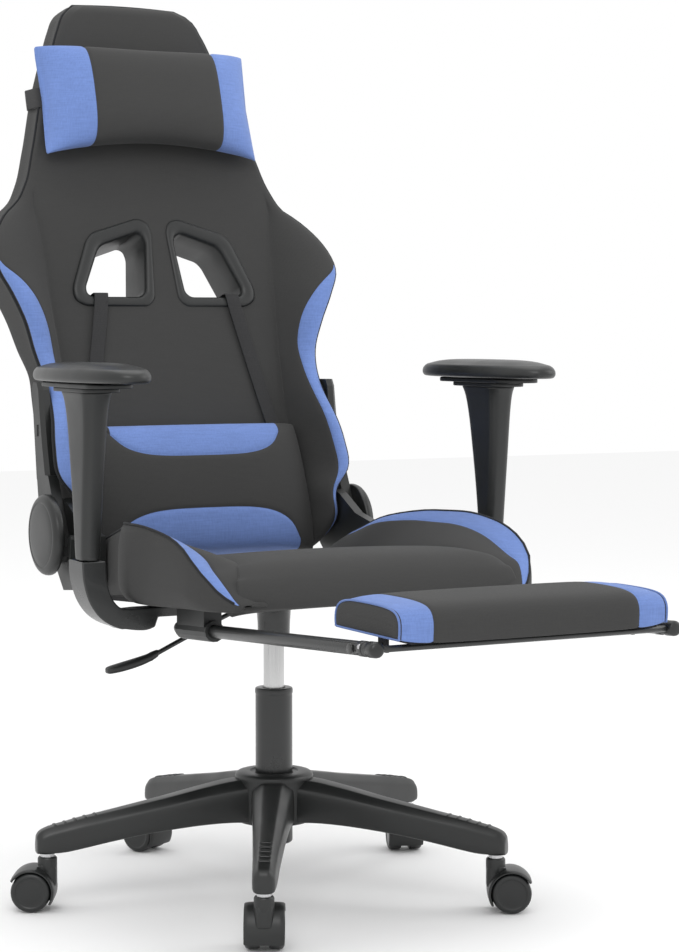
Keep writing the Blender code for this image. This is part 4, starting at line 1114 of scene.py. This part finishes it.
# --- Gas lift, mechanism and lever ------------------------------------------------------------
def lift():
    """The outer tube, the bright cylinder in it and the mechanism that joins it to the seat."""
    foot, up = (0, 0, 0), (0, 0, 1)
    outer = [(0.0130, 0.0705), (0.0230, 0.0702), (0.0248, 0.0720), (0.0250, 0.0760), (0.0250, 0.2700),
             (0.0249, 0.2720), (0.0256, 0.2735), (0.0257, 0.2775), (0.0250, 0.2798), (0.0235, 0.2806),
             (0.0160, 0.2805), (0.0150, 0.2790), (0.0148, 0.2600), (0.0148, 0.0780), (0.0130, 0.0775)]
    settle(lathe("lift_tube", outer, foot, up, PAINT, 64), "base", "painted_metal", "gas_tube")
    cylinder = rounded(0.0140, 0.1405, 0.3917, 0.0012, 3)
    settle(lathe("lift_cylinder", cylinder, foot, up, CHROME, 64), "seat", "chrome", "gas_cylinder")
    plate = []
    for drop in (0.0004, 0.0055):
        plate.append([(x, y, seat_under(y) - drop) for x, y in capsule_ring(0.095, 0.120, 0.020)])
    plate = bevel(skin("plate", plate, [PAINT]), 0.0012, 2, 40)
    channel = []
    for half_width, half_length, drop in ((0.058, 0.098, 0.0050), (0.058, 0.098, 0.0080),
                                          (0.054, 0.092, 0.0105), (0.040, 0.070, 0.0110)):
        channel.append([(x, y, seat_under(y) - drop) for x, y in capsule_ring(half_width, half_length, 0.014)])
    channel = bevel(skin("channel", channel, [PAINT]), 0.0015, 2, 40)
    socket = [(0.0144, 0.3470), (0.0200, 0.3470), (0.0212, 0.3480), (0.0215, 0.3500), (0.0220, 0.3700),
              (0.0232, 0.3860), (0.0300, 0.3950), (0.0300, 0.3965), (0.0144, 0.3965)]
    socket = lathe("socket", socket, foot, up, PAINT, 48, hollow=True)
    ear = ((-0.007, 0.3835), (0.007, 0.3835), (0.009, 0.3960), (-0.009, 0.3960))
    ear = skin("ear", [[(x, y, z) for y, z in ear] for x in (-0.0570, -0.0440)], [PAINT])
    parts = [plate, channel, socket, bevel(ear, 0.0015, 2, 40)]
    settle(merged("tilt_free_mechanism", parts), "seat", "painted_metal", "seat_mechanism")


def lever():
    rod = [(-0.058, 0.0, 0.3868), (-0.090, 0.0, 0.3735), (-0.130, 0.0, 0.3558), (-0.172, 0.0, 0.3370)]
    piece = tube("lever_wire", spline(rod, 5), 0.0031, PAINT, 16)
    settle(piece, "height_lever", "painted_metal", "lever_rod")
    stations = (
        # x, z, half-width, half-height
        (-0.1695, 0.3382, 0.0030, 0.0030), (-0.1702, 0.3379, 0.0052, 0.0050), (-0.1780, 0.3345, 0.0058, 0.0054),
        (-0.1800, 0.3337, 0.0066, 0.0060), (-0.1815, 0.3330, 0.0058, 0.0052), (-0.1900, 0.3300, 0.0070, 0.0058),
        (-0.2050, 0.3262, 0.0082, 0.0058), (-0.2200, 0.3230, 0.0090, 0.0056), (-0.2340, 0.3205, 0.0088, 0.0050),
        (-0.2410, 0.3193, 0.0076, 0.0042), (-0.2430, 0.3190, 0.0056, 0.0030),
    )
    grid = [[(x, a, z + b) for a, b in capsule_ring(width, height, 0.8 * height, 4)]
            for x, z, width, height in stations]
    settle(smooth(skin("lever_handle", grid, [PLASTIC])), "height_lever", "plastic", "lever_grip")
    bevel(NODES["recline_lever"], 0.0018, 3, 30)


# --- Base and casters -------------------------------------------------------------------------
LEGS = [math.radians(-28.6 + 72 * i) for i in range(5)]
YAWS = [math.radians(a) for a in (62, -28, 68, 118, 152)]
BASE_RADIUS = 0.310
LEG = reading((
    # distance, half-width, sole, shoulder, ridge
    (0.030, 0.0300, 0.1010, 0.1500, 0.1600), (0.060, 0.0275, 0.1030, 0.1460, 0.1580),
    (0.100, 0.0248, 0.1020, 0.1400, 0.1510), (0.150, 0.0220, 0.0975, 0.1305, 0.1405),
    (0.200, 0.0195, 0.0910, 0.1215, 0.1310), (0.240, 0.0175, 0.0840, 0.1140, 0.1235),
    (0.270, 0.0165, 0.0785, 0.1085, 0.1180), (0.290, 0.0158, 0.0755, 0.1045, 0.1135),
    (0.310, 0.0150, 0.0752, 0.1005, 0.1090), (0.322, 0.0140, 0.0752, 0.0960, 0.1040),
))


def leg(direction):
    """One tapered leg that rounds over at its end, with its row of ribs."""
    across = Vector((-direction.y, direction.x, 0))
    distances = [0.0305] + list(np.linspace(0.040, 0.318, 30)) + [0.3215, 0.3240, 0.3252]
    grid = []
    for d in distances:
        wide, sole, shoulder, ridge = (float(v) for v in LEG(d))
        shrink = 1.0 if d < 0.319 else 1 - 0.35 * ((d - 0.319) / 0.0062) ** 2
        wide *= shrink
        ridge -= 0.007 * (1 - shrink) / 0.35
        shoulder -= 0.006 * (1 - shrink) / 0.35
        half = [(0.0, sole), (wide - 0.0045, sole), (wide - 0.0012, sole + 0.0012), (wide, sole + 0.0045),
                (wide, sole + 0.5 * (shoulder - sole)), (wide - 0.0004, shoulder - 0.0020),
                (wide - 0.0020, shoulder + 0.0012), (0.62 * wide, ridge - 0.0024),
                (0.50 * wide, ridge - 0.0004), (0.44 * wide, ridge), (0.0, ridge + 0.0004)]
        ring = half + [(-a, b) for a, b in reversed(half[1:-1])]
        grid.append([direction * d + across * a + Vector((0, 0, b)) for a, b in ring])
    body = smooth(skin("leg", grid, [PLASTIC]))
    ribs = []
    for d in np.linspace(0.246, 0.300, 5):
        wide, _, _, ridge = (float(v) for v in LEG(d))
        ribs.append(rib(direction, across, d, 0.52 * wide, ridge))
    return [body] + ribs


def rib(direction, across, distance, half_width, height):
    """One of the raised bars across the outer end of a leg."""
    grid = []
    for share in (-1.0, -0.96, -0.85, -0.5, 0.0, 0.5, 0.85, 0.96, 1.0):
        drop = 0.0016 * share**4 + (0.0016 if abs(share) > 0.99 else 0.0)
        section = ((-0.0034, -0.0030), (-0.0026, 0.0006), (-0.0012, 0.0017), (0.0012, 0.0017), (0.0026, 0.0006),
                   (0.0034, -0.0030))
        middle = direction * distance + across * (share * half_width) + Vector((0, 0, height - drop))
        grid.append([middle + direction * a + Vector((0, 0, b)) for a, b in section])
    return smooth(skin("rib", grid, [PLASTIC]))


def star_base():
    hub = [(0.0254, 0.0990), (0.0430, 0.0985), (0.0490, 0.1000), (0.0515, 0.1050), (0.0520, 0.1100),
           (0.0520, 0.1540), (0.0524, 0.1580), (0.0528, 0.1610), (0.0520, 0.1640), (0.0490, 0.1662),
           (0.0440, 0.1674), (0.0360, 0.1680), (0.0330, 0.1676), (0.0318, 0.1660), (0.0300, 0.1656),
           (0.0270, 0.1660), (0.0254, 0.1650)]
    parts = [lathe("hub", hub, (0, 0, 0), (0, 0, 1), PLASTIC, 72, hollow=True)]
    for angle in LEGS:
        direction = Vector((math.sin(angle), -math.cos(angle), 0))
        parts += leg(direction)
        foot = direction * BASE_RADIUS
        collar = [(0.0060, 0.0752), (0.0125, 0.0752), (0.0132, 0.0760), (0.0134, 0.0790), (0.0060, 0.0800)]
        parts.append(lathe("collar", collar, foot, (0, 0, 1), PLASTIC, 32, hollow=True))
    settle(merged("star_base_moulding", parts), "base", "plastic", "star_base")


WHEEL_R = 0.0263
TRAIL = 0.020


def caster(number):
    """Two wheels, and the fork between them: a guard over the top, a web, a neck and a shoulder."""
    angle, yaw = LEGS[number - 1], YAWS[number - 1]
    place = Vector((math.sin(angle), -math.cos(angle), 0)) * BASE_RADIUS
    turn = Matrix.Rotation(yaw, 3, "Z")
    axle = turn @ Vector((0, 1, 0))
    centre = place + turn @ Vector((TRAIL, 0, WHEEL_R))
    face = [
        (1e-5, 0.0056), (0.0235, 0.0056), (0.0252, 0.0062), (0.0260, 0.0078), (WHEEL_R, 0.0100),
        (WHEEL_R, 0.0190), (0.0260, 0.0212), (0.0252, 0.0228), (0.0238, 0.0240), (0.0222, 0.0246),
        (0.0208, 0.0248), (0.0200, 0.0246), (0.0192, 0.0238), (0.0186, 0.0236), (0.0140, 0.0240),
        (0.0070, 0.0242), (1e-5, 0.0243),
    ]
    for side, letter in ((1, "a"), (-1, "b")):
        wheel = lathe(f"wheel_{number}{letter}", face, centre, axle * side, WHEEL_PLASTIC, 56)
        settle(wheel, f"wheel_{number}{letter}", "wheel", f"caster_wheel_{number}{letter}")

    def at(x, y, z):
        return place + turn @ Vector((x, y, z))

    guard = []
    inner, outer, half = WHEEL_R + 0.0012, WHEEL_R + 0.0042, 0.0252
    section = ((inner, -half + 0.0006), (inner, 0.0), (inner, half - 0.0006), (inner + 0.0006, half),
               (outer - 0.0014, half), (outer - 0.0003, half - 0.0014), (outer + 0.0004, half - 0.006),
               (outer + 0.0008, 0.0), (outer + 0.0004, -half + 0.006), (outer - 0.0003, -half + 0.0014),
               (outer - 0.0014, -half), (inner + 0.0006, -half))
    angles = [math.radians(a) for a in np.linspace(212, 31, 32)]
    for a in angles:
        guard.append([at(TRAIL + r * math.cos(a), w, WHEEL_R + r * math.sin(a)) for r, w in section])
    parts = [skin("guard", guard, [PLASTIC])]
    parts[0].data.set_sharp_from_angle(angle=math.radians(40))
    web_half = 0.0044
    web = []
    rim = [(TRAIL + (outer - 0.001) * math.cos(a), WHEEL_R + (outer - 0.001) * math.sin(a)) for a in angles]
    hub = [(TRAIL + 0.0085 * math.cos(a), WHEEL_R + 0.0085 * math.sin(a)) for a in
           [math.radians(d) for d in np.linspace(20, -150, 32)]]
    for (x0, z0), (x1, z1) in zip(rim, hub):
        web.append([at(x0, -web_half, z0), at(x0, web_half, z0), at(x1, web_half, z1), at(x1, -web_half, z1)])
    parts.append(skin("web", web, [PLASTIC]))
    neck = [(1e-5, 0.0500), (0.0118, 0.0502), (0.0126, 0.0530), (0.0128, 0.0600), (0.0128, 0.0670),
            (0.0124, 0.0690), (0.0112, 0.0702), (1e-5, 0.0704)]
    parts.append(lathe("neck", neck, place, (0, 0, 1), PLASTIC, 40))
    shoulder = []
    for x, half_side, low, high in (
        (-0.0125, 0.004, 0.034, 0.052), (-0.0120, 0.009, 0.032, 0.058), (-0.0060, 0.0118, 0.030, 0.0625),
        (0.0020, 0.0124, 0.0500, 0.0625), (0.0090, 0.0120, 0.0540, 0.0600), (0.0140, 0.010, 0.0545, 0.0575),
    ):
        ring = capsule_ring(half_side, (high - low) / 2, 0.35 * min(half_side, (high - low) / 2), 3)
        shoulder.append([at(x, a, (high + low) / 2 + b) for a, b in ring])
    parts.append(smooth(skin("shoulder", shoulder, [PLASTIC])))
    settle(merged(f"caster_fork_{number}", parts), f"caster_{number}", "plastic", f"caster_hood_{number}")


# --- Carried-over CAD nodes -------------------------------------------------------------------
def dress_frame():
    """Gives the CAD nodes that stay in view their finish."""
    kinds = {
        "recliner_lower": PLASTIC, "recliner_upper": PLASTIC, "recline_lever": PLASTIC, "seat_board": LINING,
        "footrest_board": LINING, "rail_guide": DEEP_PLASTIC, "caster_stem": STEEL, "gas_rod": STEEL,
    }
    for name, node in NODES.items():
        for start, material in kinds.items():
            if name.startswith(start):
                node.data.materials.clear()
                node.data.materials.append(material)
                node.data.shade_smooth()
                node.data.set_sharp_from_angle(angle=math.radians(30))


# --- Stage ------------------------------------------------------------------------------------
CAMERA_PLACE = Vector((-1.40642, -2.84649, 0.76883))  # from the column's foot
CAMERA_LOOK = Vector((0.46685, 0.88203, -0.06384))
CAMERA_LENS = 89.62


def area_light(name, place, target, size, power, tint=(1, 1, 1)):
    data = bpy.data.lights.new(name, "AREA")
    data.shape = "RECTANGLE"
    data.size, data.size_y = size
    data.energy = power
    data.color = tint
    light = bpy.data.objects.new(name, data)
    light.location = place
    light.rotation_euler = (Vector(target) - Vector(place)).to_track_quat("-Z", "Y").to_euler()
    bpy.context.scene.collection.objects.link(light)


def stage():
    corners = [(-9, -9, 0), (9, -9, 0), (9, 9, 0), (-9, 9, 0), (0, 0, -0.5)]
    faces = [(0, 1, 2, 3), (0, 4, 1), (1, 4, 2), (2, 4, 3), (3, 4, 0)]
    pale = Shader("studio_floor", (0.93, 0.93, 0.93), 0.9, Specular_IOR_Level=0.0).material
    floor = place_mesh("floor", corners, faces, [0] * len(faces), [pale], shift=False)
    floor.data.shade_flat()
    floor.location.z = -0.0006
    world = bpy.data.worlds.new("studio")
    world.use_nodes = True
    world.node_tree.nodes["Background"].inputs["Color"].default_value = (1, 1, 1, 1)
    world.node_tree.nodes["Background"].inputs["Strength"].default_value = 1.0
    bpy.context.scene.world = world
    bpy.context.scene.view_settings.view_transform = "Standard"
    area_light("key", (-1.6, -2.6, 2.9), (0, 0, 0.7), (2.2, 1.6), 40)
    area_light("side", (2.6, -1.0, 1.9), (0, 0, 0.7), (1.4, 2.2), 18)
    area_light("top", (0.2, 0.6, 3.2), (0, 0.1, 0.6), (2.4, 2.4), 22)
    data = bpy.data.cameras.new("camera")
    data.lens = CAMERA_LENS
    data.sensor_width = 36
    data.clip_end = 60
    camera = bpy.data.objects.new("camera", data)
    camera.location = CAMERA_PLACE + COLUMN
    camera.rotation_mode = "QUATERNION"
    camera.rotation_quaternion = CAMERA_LOOK.to_track_quat("-Z", "Y")
    bpy.context.scene.collection.objects.link(camera)
    bpy.context.scene.camera = camera


# --- Assembly ---------------------------------------------------------------------------------
stage()
dress_frame()
backrest_cushion()
backrest_piping()
rear_cover()
straps()
head_pillow()
lumbar_pillow()
seat_cushion()
footrest_pad()
footrest_metal()
lift()
lever()
star_base()
for side, name in SIDES:
    hole_trim(side, name)
    bolster(side, name)
    armrest(side, name)
    recliner(side, name)
for number in range(1, 6):
    caster(number)
